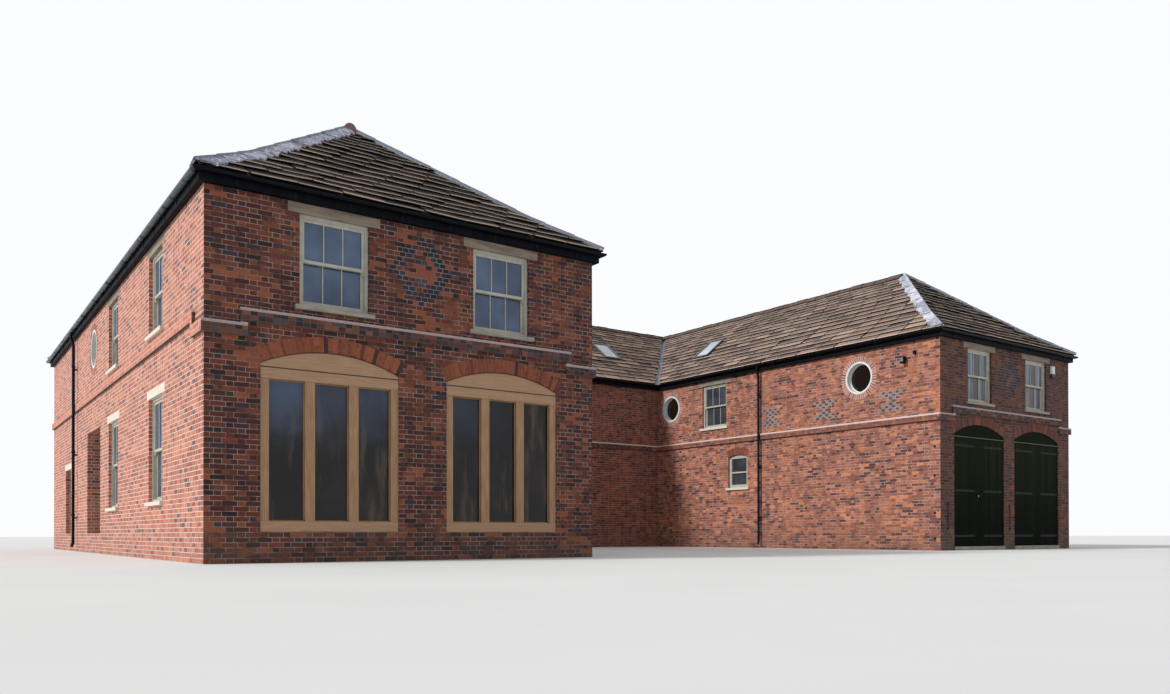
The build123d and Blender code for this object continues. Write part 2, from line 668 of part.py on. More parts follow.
UPPER_SASH_HEIGHT = SASH_HEAD_LEVEL - SASH_SILL_LEVEL
GROUND_SASH_HEIGHT = GROUND_WINDOW_HEAD_LEVEL - GROUND_WINDOW_SILL_LEVEL
WINDOW_FRAMES = (
    (UPPER_SASHES, SASH_SILL_LEVEL, sash_frame(UPPER_SASH_HEIGHT)),
    (GROUND_SASHES, GROUND_WINDOW_SILL_LEVEL, sash_frame(GROUND_SASH_HEIGHT)),
    (COURT_WINDOWS, COURT_WINDOW_SILL_LEVEL, court_frame()),
    (OCULI, OCULUS_LEVEL, oculus_frame()),
)
WINDOW_PANES = (
    (UPPER_SASHES, SASH_SILL_LEVEL, sash_glass(UPPER_SASH_HEIGHT)),
    (GROUND_SASHES, GROUND_WINDOW_SILL_LEVEL, sash_glass(GROUND_SASH_HEIGHT)),
    (COURT_WINDOWS, COURT_WINDOW_SILL_LEVEL, court_glass()),
    (OCULI, OCULUS_LEVEL, oculus_glass()),
)
for wing in ("left_wing", "back_range", "right_wing"):
    with BuildPart() as frames:
        place_windows(wing, WINDOW_FRAMES)
    keep(frames, f"{wing}_window_frames")
    with BuildPart() as glass:
        place_windows(wing, WINDOW_PANES)
    keep(glass, f"{wing}_window_glass")

# Oak screens: posts, mullions, head beam, foot rail and a solid board in the arch
LIGHT_WIDTH = (SCREEN_ARCH_WIDTH - 2 * SCREEN_POST - 2 * SCREEN_MULLION) / 3
SCREEN_LIGHTS = [bay + k * (LIGHT_WIDTH + SCREEN_MULLION) for bay in SCREEN_BAYS
                 for k in (-1, 0, 1)]
with BuildPart() as oak_screens:
    screen = arched(face(LEFT_FRONT, SCREEN_SETBACK), SCREEN_BAYS, SCREEN_ARCH_WIDTH,
                    HOUSE_FLOOR_LEVEL, SCREEN_ARCH_SPRING, SCREEN_ARCH_RISE)
    extrude(screen, amount=-SCREEN_DEPTH)
    lights = rectangles(face(LEFT_FRONT), SCREEN_LIGHTS, LIGHT_WIDTH,
                        HOUSE_FLOOR_LEVEL + SCREEN_RAIL, SCREEN_HEAD_LOW)
    extrude(lights, amount=-WALL_THICKNESS, mode=Mode.SUBTRACT)
keep(oak_screens, "oak_screens")

with BuildPart() as oak_screen_glass:
    panes = rectangles(face(LEFT_FRONT, SCREEN_SETBACK + SCREEN_DEPTH / 2), SCREEN_LIGHTS,
                       LIGHT_WIDTH, HOUSE_FLOOR_LEVEL + SCREEN_RAIL, SCREEN_HEAD_LOW)
    extrude(panes, amount=-GLASS_THICKNESS)
keep(oak_screen_glass, "oak_screen_glass")

# Coach doorways: threshold, and a frame behind the leaves with transom and tympanum
DOOR_FRAME_SETBACK = DOOR_SETBACK + DOOR_BOARDS + DOOR_LEDGE_DEPTH + DOOR_FRAME_GAP
TRANSOM_LOW = COACH_ARCH_SPRING - DOOR_TRANSOM_HEIGHT
with BuildPart() as coach_door_thresholds:
    blocks = rectangles(face(RIGHT_FRONT, -THRESHOLD_PROJECTION), COACH_BAYS, COACH_ARCH_WIDTH,
                        0, COACH_FLOOR_LEVEL)
    extrude(blocks, amount=-(WALL_THICKNESS + THRESHOLD_PROJECTION))
keep(coach_door_thresholds, "coach_door_thresholds")

with BuildPart() as coach_door_frames:
    frame = arched(face(RIGHT_FRONT, DOOR_FRAME_SETBACK), COACH_BAYS, COACH_ARCH_WIDTH,
                   COACH_FLOOR_LEVEL, COACH_ARCH_SPRING, COACH_ARCH_RISE)
    extrude(frame, amount=-DOOR_FRAME_DEPTH)
    way = rectangles(face(RIGHT_FRONT), COACH_BAYS, COACH_ARCH_WIDTH - 2 * DOOR_FRAME_POST,
                     COACH_FLOOR_LEVEL, TRANSOM_LOW)
    extrude(way, amount=-WALL_THICKNESS, mode=Mode.SUBTRACT)
    head = arched(face(RIGHT_FRONT, DOOR_SETBACK), COACH_BAYS, COACH_ARCH_WIDTH, TRANSOM_LOW,
                  COACH_ARCH_SPRING, COACH_ARCH_RISE)
    extrude(head, amount=-(DOOR_FRAME_SETBACK - DOOR_SETBACK))
keep(coach_door_frames, "coach_door_frames")

# Coach door leaves, ledged and braced, each hung by three straps on pintles
LEAF_WIDTH = (COACH_ARCH_WIDTH - 2 * DOOR_SIDE_GAP - DOOR_MEETING_GAP) / 2
LEAF_LOW = COACH_FLOOR_LEVEL + DOOR_FOOT_GAP
LEAF_HIGH = TRANSOM_LOW - DOOR_HEAD_GAP
EYE_RADIUS = PIN_RADIUS + PIN_CLEARANCE + EYE_WALL


def leaf(hinge, hand):
    """A leaf from its hinge side at distance hinge along the front; hand is +1 or -1."""
    edge = hinge + hand * DOOR_SIDE_GAP
    centre = edge + hand * LEAF_WIDTH / 2
    back = face(RIGHT_FRONT, DOOR_SETBACK + DOOR_BOARDS)
    with BuildPart() as door:
        extrude(rectangles(face(RIGHT_FRONT, DOOR_SETBACK), [centre], LEAF_WIDTH, LEAF_LOW,
                           LEAF_HIGH), amount=-DOOR_BOARDS)
        for level in STRAP_LEVELS:
            extrude(rectangles(back, [centre], LEAF_WIDTH, level - DOOR_LEDGE_HEIGHT / 2,
                               level + DOOR_LEDGE_HEIGHT / 2), amount=-DOOR_LEDGE_DEPTH)
        for low, high in zip(STRAP_LEVELS, STRAP_LEVELS[1:]):
            with BuildSketch(back):
                foot = (edge + hand * DOOR_BRACE_WIDTH, low + DOOR_LEDGE_HEIGHT / 2)
                head = (edge + hand * (LEAF_WIDTH - DOOR_BRACE_WIDTH), high - DOOR_LEDGE_HEIGHT / 2)
                half = hand * DOOR_BRACE_WIDTH / 2
                with BuildLine():
                    Polyline((foot[0] - half, foot[1]), (foot[0] + half, foot[1]),
                             (head[0] + half, head[1]), (head[0] - half, head[1]), close=True)
                make_face()
            extrude(amount=-DOOR_LEDGE_DEPTH)
    return door


def straps(hinge, hand):
    """Three straps, each with an eye round its pin."""
    pin = hinge + hand * PIN_INSET
    front = face(RIGHT_FRONT, DOOR_SETBACK - STRAP_THICKNESS)
    bar_centre = pin + hand * STRAP_LENGTH / 2
    with BuildPart() as irons:
        for level in STRAP_LEVELS:
            extrude(rectangles(front, [bar_centre], STRAP_LENGTH, level - STRAP_HEIGHT / 2,
                               level + STRAP_HEIGHT / 2), amount=-STRAP_THICKNESS)
        for low, high, radius, mode in eye_parts():
            with BuildSketch(Plane.XY.offset(low)):
                with Locations(pin_place(pin)):
                    Circle(radius)
            extrude(amount=high - low, mode=mode)
    return irons


def eye_parts():
    """Outer eyes first and then the pin holes, as low, high, radius and mode."""
    spans = [(level - EYE_HEIGHT / 2, level + EYE_HEIGHT / 2) for level in STRAP_LEVELS]
    outer = [(low, high, EYE_RADIUS, Mode.ADD) for low, high in spans]
    inner = [(low, high, PIN_RADIUS + PIN_CLEARANCE, Mode.SUBTRACT) for low, high in spans]
    return outer + inner


def pin_place(u):
    return (COURT_RIGHT + u, FRONT + PIN_SETBACK)


HINGES = []
for number, bay in enumerate(COACH_BAYS, start=1):
    HINGES.append((f"coach_door_{number}_left", bay - COACH_ARCH_WIDTH / 2, 1))
    HINGES.append((f"coach_door_{number}_right", bay + COACH_ARCH_WIDTH / 2, -1))

for name, hinge, hand in HINGES:
    keep(leaf(hinge, hand), f"{name}_leaf")
    keep(straps(hinge, hand), f"{name}_straps")

with BuildPart() as pintle:
    arm_length = PIN_INSET + PIN_RADIUS
    with Locations((arm_length / 2 - PIN_INSET, 0, PINTLE_ARM / 2)):
        Box(arm_length, PINTLE_ARM, PINTLE_ARM)
    with Locations((0, 0, (PINTLE_ARM + EYE_HEIGHT) / 2)):
        Cylinder(PIN_RADIUS, PINTLE_ARM + EYE_HEIGHT)

with BuildPart() as pintles:
    spots = []
    for name, hinge, hand in HINGES:
        x, y = pin_place(hinge + hand * PIN_INSET)
        for level in STRAP_LEVELS:
            low = level - EYE_HEIGHT / 2 - PIN_CLEARANCE - PINTLE_ARM
            spots.append(Location((x, y, low), (0, 0, 90 * (1 - hand))))
    with Locations(*spots):
        add(pintle.part)
keep(pintles, "pintles")

# Stay bars on the piers beside the coach doors, and the anchor plates of the pintles
with BuildPart() as wall_irons:
    stays = (STAY_FROM_CORNER, RIGHT_WING_WIDTH / 2)
    for low in (STAY_FOOT, STAY_TOP - STAY_PLATE):
        extrude(rectangles(face(RIGHT_FRONT), stays, STAY_PLATE, low, low + STAY_PLATE),
                amount=STAY_THICKNESS)
    extrude(rectangles(face(RIGHT_FRONT, -STAY_THICKNESS), stays, STAY_WIDTH, STAY_FOOT,
                       STAY_TOP), amount=STAY_THICKNESS)
    anchors = side_length(RIGHT_COURT) - ANCHOR_FROM_CORNER
    for level in ANCHOR_LEVELS:
        extrude(rectangles(face(RIGHT_COURT), [anchors], ANCHOR_PLATE, level,
                           level + ANCHOR_PLATE), amount=STAY_THICKNESS)
keep(wall_irons, "wall_irons")


def slab(x_from, x_to, y_from, low, high):
    """Floor slab of one range, up to the inner face of the rear wall."""
    y_to = BACK - WALL_THICKNESS
    with Locations(((x_from + x_to) / 2, (y_from + y_to) / 2, (low + high) / 2)):
        Box(x_to - x_from, y_to - y_from, high - low)


# Floors, one slab to a range with a joint between them
LEFT_ROOM = (LEFT + WALL_THICKNESS, COURT_LEFT - WALL_THICKNESS)
RIGHT_ROOM = (COURT_RIGHT + WALL_THICKNESS, RIGHT - WALL_THICKNESS)
BACK_ROOM = (LEFT_ROOM[1] + SLAB_JOINT, RIGHT_ROOM[0] - SLAB_JOINT)
ROOM_FRONT = FRONT + WALL_THICKNESS
BACK_ROOM_FRONT = COURT_BACK + WALL_THICKNESS

with BuildPart() as ground_floors:
    slab(*LEFT_ROOM, ROOM_FRONT, 0, HOUSE_FLOOR_LEVEL)
    slab(*BACK_ROOM, BACK_ROOM_FRONT, 0, HOUSE_FLOOR_LEVEL)
    slab(*RIGHT_ROOM, ROOM_FRONT, 0, COACH_FLOOR_LEVEL)
keep(ground_floors, "ground_floors")

with BuildPart() as upper_floors:
    underside = UPPER_FLOOR_LEVEL - UPPER_FLOOR_THICKNESS
    slab(*LEFT_ROOM, ROOM_FRONT, underside, UPPER_FLOOR_LEVEL)
    slab(*BACK_ROOM, BACK_ROOM_FRONT, underside, UPPER_FLOOR_LEVEL)
    slab(*RIGHT_ROOM, ROOM_FRONT, underside, UPPER_FLOOR_LEVEL)
keep(upper_floors, "upper_floors")

# Roof in plan: each side's slope runs up to the ridge points A, B, C and D of the U
LEFT_RIDGE = LEFT + LEFT_WING_WIDTH / 2
RIGHT_RIDGE = RIGHT - RIGHT_WING_WIDTH / 2
BACK_RIDGE = BACK - BACK_RANGE_DEPTH / 2
RIDGE_A = (LEFT_RIDGE, FRONT + HIP_RUN)
RIDGE_B = (LEFT_RIDGE, BACK_RIDGE)
RIDGE_C = (RIGHT_RIDGE, BACK_RIDGE)
RIDGE_D = (RIGHT_RIDGE, FRONT + HIP_RUN)
RIDGE_POINT_OF_CORNER = (RIDGE_A, RIDGE_A, RIDGE_B, RIDGE_C, RIDGE_D, RIDGE_D, RIDGE_C, RIDGE_B)
HIP_CORNERS = (LEFT_FRONT, LEFT_COURT, RIGHT_FRONT, RIGHT_OUTER, REAR, LEFT_OUTER)
VALLEY_CORNERS = (BACK_COURT, RIGHT_COURT)


def slope_run(side):
    """Plan distance from a side's eaves to its ridge or hip apex."""
    if side in (LEFT_FRONT, RIGHT_FRONT):
        return HIP_RUN + EAVES_REACH
    widths = {"left_wing": LEFT_WING_WIDTH, "right_wing": RIGHT_WING_WIDTH,
              "back_range": BACK_RANGE_DEPTH}
    return widths[RANGE_OF_SIDE[side]] / 2 + EAVES_REACH


def slope_plan(side):
    eaves = outline(EAVES_REACH)
    after = (side + 1) % 8
    upper = [RIDGE_POINT_OF_CORNER[after], RIDGE_POINT_OF_CORNER[side]]
    if upper[0] == upper[1]:
        upper = upper[:1]
    return [eaves[side], eaves[after], *upper]


def slope_section(side):
    """Plane square to a slope's eaves: x runs inwards from the slates' edge, y is up."""
    plane = face(side, -EAVES_REACH)
    inwards = plane.z_dir * -1
    return Plane(origin=plane.origin, x_dir=inwards, z_dir=inwards.cross(UP))


def bell(side):
    """Point where the gentler foot of a slope meets its main pitch."""
    return (BELL_RUN_SHARE * slope_run(side),
            EAVES_LEVEL + BELL_RISE_SHARE * (RIDGE_LEVEL - EAVES_LEVEL))


def foot_level(side, run):
    """Level of the slates at a distance in from their edge, on the gentler foot."""
    bell_run, bell_level = bell(side)
    return EAVES_LEVEL + (bell_level - EAVES_LEVEL) * run / bell_run


def slope_solid(side, profile, *plans):
    """Profile carried along a side and cut to its slope and to any further plans."""
    with BuildPart() as solid:
        with BuildSketch(slope_section(side)):
            with BuildLine():
                Polyline(*profile, close=True)
            make_face()
        extrude(amount=WIDTH + DEPTH, both=True)
        for plan in (slope_plan(side), *plans):
            with BuildSketch(Plane.XY):
                with BuildLine():
                    Polyline(*plan, close=True)
                make_face()
            extrude(amount=RIDGE_LEVEL + ROOF_DEPTH, mode=Mode.INTERSECT)
    return solid.part


def layer(side, low, high, *plans):
    """Layer of a slope between two heights over the slates' face, cut to plans."""
    run, (bell_run, bell_level) = slope_run(side), bell(side)
    profile = [(0, EAVES_LEVEL + high), (bell_run, bell_level + high), (run, RIDGE_LEVEL + high),
               (run, RIDGE_LEVEL + low), (bell_run, bell_level + low), (0, EAVES_LEVEL + low)]
    return slope_solid(side, profile, *plans)


def edge_strips(corner, reach):
    """The strips each side of a hip or valley, as (side, plan)."""
    foot, head = outline(EAVES_REACH)[corner], RIDGE_POINT_OF_CORNER[corner]
    strips = []
    for side, sense in (((corner - 1) % 8, -1), (corner, 1)):
        shift = face(side).x_dir * (sense * reach * sqrt(2))
        strips.append((side, [foot, head, (head[0] + shift.X, head[1] + shift.Y),
                              (foot[0] + shift.X, foot[1] + shift.Y)]))
    return strips


def slope_structure(side):
    """Rafters, boarding and slates of one slope; only the slates oversail the fascia."""
    run, (bell_run, bell_level) = slope_run(side), bell(side)
    rafter_foot = EAVES_REACH - FASCIA_REACH + FASCIA_THICKNESS
    foot = foot_level(side, rafter_foot)
    profile = [(0, EAVES_LEVEL), (bell_run, bell_level), (run, RIDGE_LEVEL),
               (run, RIDGE_LEVEL - ROOF_DEPTH), (bell_run, bell_level - ROOF_DEPTH),
               (rafter_foot, foot - ROOF_DEPTH), (rafter_foot, foot - SLATE_DEPTH),
               (0, EAVES_LEVEL - SLATE_DEPTH)]
    return slope_solid(side, profile)


ROOFLIGHTS = ((BACK_COURT, BACK_ROOFLIGHT_ALONG, BACK_ROOFLIGHT_RUN),
              (RIGHT_COURT, RIGHT_ROOFLIGHT_ALONG, RIGHT_ROOFLIGHT_RUN))


def rooflight_plane(side, along, run):
    """Plane on the slates with x along the eaves and y up the slope."""
    section_plane = slope_section(side)
    bell_run, bell_level = bell(side)
    pitch = (RIDGE_LEVEL - bell_level) / (slope_run(side) - bell_run)
    level = bell_level + (run - bell_run) * pitch
    x_dir = face(side).x_dir
    up_slope = (section_plane.x_dir + UP * pitch).normalized()
    origin = section_plane.origin + x_dir * along + section_plane.x_dir * run + UP * level
    return Plane(origin=origin, x_dir=x_dir, z_dir=x_dir.cross(up_slope))


SLOPE_NAMES = {
    LEFT_FRONT: "left_wing_hip_slope", LEFT_COURT: "left_wing_court_slope",
    LEFT_OUTER: "left_wing_outer_slope", BACK_COURT: "back_range_court_slope",
    REAR: "back_range_rear_slope", RIGHT_COURT: "right_wing_court_slope",
    RIGHT_FRONT: "right_wing_hip_slope", RIGHT_OUTER: "right_wing_outer_slope",
}
VALLEY_STRIPS = [strip for corner in VALLEY_CORNERS
                 for strip in edge_strips(corner, VALLEY_LEAD_REACH)]

for side, name in SLOPE_NAMES.items():
    with BuildPart() as slope:
        add(slope_structure(side))
        for strip_side, plan in VALLEY_STRIPS:
            if strip_side == side:
                add(layer(side, -SLATE_DEPTH, SLATE_DEPTH, plan), mode=Mode.SUBTRACT)
        for light_side, along, run in ROOFLIGHTS:
            if light_side == side:
                with BuildSketch(rooflight_plane(side, along, run)) as hole:
                    Rectangle(ROOFLIGHT_WIDTH, ROOFLIGHT_LENGTH)
                extrude(hole.sketch, amount=ROOF_DEPTH, both=True, mode=Mode.SUBTRACT)
    keep(slope, name)

# Lead over the hips, trimmed close to the roll on the front slopes but for the left end
with BuildPart() as lead_hips:
    for corner in HIP_CORNERS:
        for (side, wide), (side, trimmed) in zip(edge_strips(corner, HIP_LEAD_REACH),
                                                 edge_strips(corner, TRIMMED_LEAD_REACH)):
            close = side in (LEFT_FRONT, RIGHT_FRONT) and corner != LEFT_FRONT
            add(layer(side, 0, HIP_LEAD_THICKNESS, trimmed if close else wide))
keep(lead_hips, "lead_hips")

with BuildPart() as lead_valleys:
    for side, plan in VALLEY_STRIPS:
        add(layer(side, -SLATE_DEPTH, VALLEY_LEAD_THICKNESS - SLATE_DEPTH, plan))
keep(lead_valleys, "lead_valleys")


def ridge_strip(side):
    """Plan strip beside the ridge at the head of a slope."""
    start, end = slope_plan(side)[2:]
    shift = face(side).z_dir * RIDGE_STONE_REACH
    return [start, end, (end[0] + shift.X, end[1] + shift.Y),
            (start[0] + shift.X, start[1] + shift.Y)]


with BuildPart() as ridge_stones:
    for side in (LEFT_COURT, LEFT_OUTER, BACK_COURT, REAR, RIGHT_COURT, RIGHT_OUTER):
        add(layer(side, 0, RIDGE_STONE_THICKNESS, ridge_strip(side)))
    add(lead_hips.part, mode=Mode.SUBTRACT)
keep(ridge_stones, "ridge_stones")

# Boxed eaves: wall plate and packing under the rafters, with the fascia before their feet
with BuildPart() as eaves_boards:
    for side in SLOPE_NAMES:
        fascia = EAVES_REACH - FASCIA_REACH
        rafter_foot = fascia + FASCIA_THICKNESS
        inner = EAVES_REACH + WALL_THICKNESS
        add(slope_solid(side, [
            (fascia, WALL_HEIGHT), (fascia, foot_level(side, fascia) - SLATE_DEPTH),
            (rafter_foot, foot_level(side, rafter_foot) - SLATE_DEPTH),
            (rafter_foot, foot_level(side, rafter_foot) - ROOF_DEPTH),
            (inner, foot_level(side, inner) - ROOF_DEPTH), (inner, WALL_HEIGHT)]))
    with BuildSketch(Plane.XY):
        with BuildLine():
            Polyline(*outline(FASCIA_REACH), close=True)
        make_face()
    extrude(amount=RIDGE_LEVEL, mode=Mode.INTERSECT)
keep(eaves_boards, "eaves_boards")

GUTTER_REACH = FASCIA_REACH + GUTTER_RADIUS
with BuildPart() as gutters:
    for side in SLOPE_NAMES:
        with BuildPart(mode=Mode.PRIVATE) as length:
            with BuildSketch(section(side)):
                with BuildLine():
                    rims = [GUTTER_REACH + k * r for k, r in (
                        (-1, GUTTER_RADIUS), (1, GUTTER_RADIUS), (1, GUTTER_RADIUS - GUTTER_WALL),
                        (-1, GUTTER_RADIUS - GUTTER_WALL))]
                    outer, inner = GUTTER_RADIUS, GUTTER_RADIUS - GUTTER_WALL
                    ThreePointArc((rims[0], GUTTER_LIP_LEVEL), (GUTTER_REACH, GUTTER_LIP_LEVEL - outer),
                                  (rims[1], GUTTER_LIP_LEVEL))
                    Line((rims[1], GUTTER_LIP_LEVEL), (rims[2], GUTTER_LIP_LEVEL))
                    ThreePointArc((rims[2], GUTTER_LIP_LEVEL), (GUTTER_REACH, GUTTER_LIP_LEVEL - inner),
                                  (rims[3], GUTTER_LIP_LEVEL))
                    Line((rims[3], GUTTER_LIP_LEVEL), (rims[0], GUTTER_LIP_LEVEL))
                make_face()
            extrude(amount=WIDTH + DEPTH, both=True)
            with BuildSketch(Plane.XY):
                with BuildLine():
                    Polyline(*mitred_strip(side, GUTTER_REACH + GUTTER_RADIUS, 0), close=True)
                make_face()
            extrude(amount=RIDGE_LEVEL, mode=Mode.INTERSECT)
        add(length.part)
keep(gutters, "gutters")

# Downpipes with a swan neck under the gutter, brackets to the wall and a shoe at the foot
PIPE_REACH = STRING_PROJECTION + PIPE_WALL_GAP + PIPE_RADIUS
GUTTER_FOOT = GUTTER_LIP_LEVEL - GUTTER_RADIUS
with BuildPart() as downpipe:
    with BuildLine(Plane.YZ) as route:
        FilletPolyline((GUTTER_FOOT + GUTTER_WALL, GUTTER_REACH), (WALL_HEIGHT, GUTTER_REACH),
                       (SWAN_NECK_LEVEL, PIPE_REACH), (2 * PIPE_FOOT_LEVEL, PIPE_REACH),
                       (PIPE_FOOT_LEVEL, PIPE_REACH + PIPE_RADIUS), radius=PIPE_BEND_RADIUS)
    with BuildSketch(Plane(origin=route.line @ 0, z_dir=route.line % 0)) as bore:
        Circle(PIPE_RADIUS)
    sweep(bore.sketch, path=route.line)
    for level in PIPE_BRACKET_LEVELS:
        with Locations((0, level, PIPE_REACH / 2)):
            Box(PIPE_BRACKET, PIPE_BRACKET, PIPE_REACH)
    with Locations(Location((0, GUTTER_LIP_LEVEL, GUTTER_REACH), (0, 90, 0))):
        Cylinder(GUTTER_RADIUS, 4 * PIPE_RADIUS, mode=Mode.SUBTRACT)

with BuildPart() as downpipes:
    with Locations(*[face(side).location * Location((u, 0, 0)) for side, u in DOWNPIPES]):
        add(downpipe.part)
keep(downpipes, "downpipes")

with BuildPart() as rooflights:
    for side, along, run in ROOFLIGHTS:
        with BuildSketch(rooflight_plane(side, along, run).offset(ROOFLIGHT_PROUD)) as rim:
            Rectangle(ROOFLIGHT_WIDTH, ROOFLIGHT_LENGTH)
            Rectangle(ROOFLIGHT_WIDTH - 2 * ROOFLIGHT_FRAME, ROOFLIGHT_LENGTH - 2 * ROOFLIGHT_FRAME,
                      mode=Mode.SUBTRACT)
        extrude(rim.sketch, amount=-(ROOFLIGHT_PROUD + ROOF_DEPTH / 2))
keep(rooflights, "rooflights")

with BuildPart() as rooflight_glass:
    for side, along, run in ROOFLIGHTS:
        with BuildSketch(rooflight_plane(side, along, run).offset(ROOFLIGHT_PROUD / 2)) as pane:
            Rectangle(ROOFLIGHT_WIDTH - 2 * ROOFLIGHT_FRAME, ROOFLIGHT_LENGTH - 2 * ROOFLIGHT_FRAME)
        extrude(pane.sketch, amount=-GLASS_THICKNESS)
keep(rooflight_glass, "rooflight_glass")

# Floodlight and its sensor on the court wall, and the alarm box beside the end windows
with BuildPart() as outside_light:
    lamp = side_length(RIGHT_COURT) - LAMP_FROM_CORNER
    extrude(rectangles(face(RIGHT_COURT), [lamp], LAMP_PLATE, LAMP_LEVEL, LAMP_LEVEL + LAMP_PLATE),
            amount=LAMP_ARM)
    extrude(rectangles(face(RIGHT_COURT, -LAMP_ARM), [lamp], LAMP_WIDTH,
                       LAMP_LEVEL - LAMP_HEIGHT / 2, LAMP_LEVEL + LAMP_HEIGHT / 2),
            amount=LAMP_DEPTH)
    fillet(outside_light.faces().sort_by(Axis.X)[0].edges(), LAMP_ROUNDING)
    sensor = side_length(RIGHT_COURT) - SENSOR_FROM_CORNER
    extrude(rectangles(face(RIGHT_COURT), [sensor], SENSOR_WIDTH, SENSOR_LEVEL,
                       SENSOR_LEVEL + SENSOR_HEIGHT), amount=SENSOR_WIDTH)
keep(outside_light, "outside_light")

with BuildPart() as alarm_box:
    extrude(rectangles(face(RIGHT_FRONT), [ALARM_FROM_CORNER], ALARM_WIDTH, ALARM_LEVEL,
                       ALARM_LEVEL + ALARM_HEIGHT), amount=ALARM_DEPTH)
    fillet(alarm_box.faces().sort_by(Axis.Y)[0].edges(), ALARM_ROUNDING)
keep(alarm_box, "alarm_box")
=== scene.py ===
from math import atan2, ceil, cos, floor, hypot, pi, radians, sin, sqrt

import bmesh
import bpy
from mathutils import Matrix, Vector


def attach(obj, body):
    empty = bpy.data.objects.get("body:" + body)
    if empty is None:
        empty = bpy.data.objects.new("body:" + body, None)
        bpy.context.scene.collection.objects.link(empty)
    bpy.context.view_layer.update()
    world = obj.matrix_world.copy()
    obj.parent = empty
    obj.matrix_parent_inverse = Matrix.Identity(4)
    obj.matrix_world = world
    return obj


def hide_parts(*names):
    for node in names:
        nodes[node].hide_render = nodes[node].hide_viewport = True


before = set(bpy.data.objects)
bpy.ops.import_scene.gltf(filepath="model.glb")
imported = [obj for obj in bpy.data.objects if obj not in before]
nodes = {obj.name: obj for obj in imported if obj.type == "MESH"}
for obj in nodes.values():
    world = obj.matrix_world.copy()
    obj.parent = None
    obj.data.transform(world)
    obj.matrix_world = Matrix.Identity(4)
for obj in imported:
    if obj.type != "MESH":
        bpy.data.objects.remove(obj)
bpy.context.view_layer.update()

# The stage: a pale floor and an even pale surround, with soft light from the left.
# The camera stands low, off the left front corner, where the photograph was taken.
CAMERA_PLACE = (-16.273, -24.226, 0.441)
CAMERA_HEADING = 54.384
CAMERA_PITCH = 0.376
CAMERA_ROLL = -0.062
CAMERA_LENS = 28.65
CAMERA_SHIFT = 0.155
FLOOR_RADIUS = 220
FLOOR_DROP = 0.004
SURROUND_LIGHT = 0.52
SURROUND_COLOUR = (0.97, 0.98, 1.0, 1.0)
SUN_LIGHT = 2.6
SUN_SOFTNESS = 9
SUN_FROM = (-0.86, 0.16, 0.52)


class Value:
    """What a node gives out. A sum, a share or a comparison of values adds its math node."""

    def __init__(self, wiring, socket):
        self.wiring = wiring
        self.socket = socket

    def __add__(self, other):
        return self.wiring.math("ADD", self, other)

    def __radd__(self, other):
        return self.wiring.math("ADD", other, self)

    def __sub__(self, other):
        return self.wiring.math("SUBTRACT", self, other)

    def __rsub__(self, other):
        return self.wiring.math("SUBTRACT", other, self)

    def __mul__(self, other):
        return self.wiring.math("MULTIPLY", self, other)

    def __rmul__(self, other):
        return self.wiring.math("MULTIPLY", other, self)

    def __truediv__(self, other):
        return self.wiring.math("DIVIDE", self, other)

    def __mod__(self, other):
        return self.wiring.math("FLOORED_MODULO", self, other)

    def __gt__(self, other):
        return self.wiring.math("GREATER_THAN", self, other)

    def __lt__(self, other):
        return self.wiring.math("LESS_THAN", self, other)

    def __abs__(self):
        return self.wiring.math("ABSOLUTE", self)

    def __floor__(self):
        return self.wiring.math("FLOOR", self)

    def fraction(self):
        return self.wiring.math("FRACT", self)

    def to_and_fro(self, turn):
        """Runs up to the turn and back again, over and over."""
        return self.wiring.math("PINGPONG", self, turn)


def most(first, second):
    """The greater of two values. The second may be a plain number, or the first."""
    known = first if isinstance(first, Value) else second
    return known.wiring.math("MAXIMUM", first, second)


def least(first, second):
    """The lesser of two values. The second may be a plain number."""
    return first.wiring.math("MINIMUM", first, second)


def between(value, low, high):
    """1 where a value lies between two limits, and 0 elsewhere."""
    return (value > low) * (value < high)


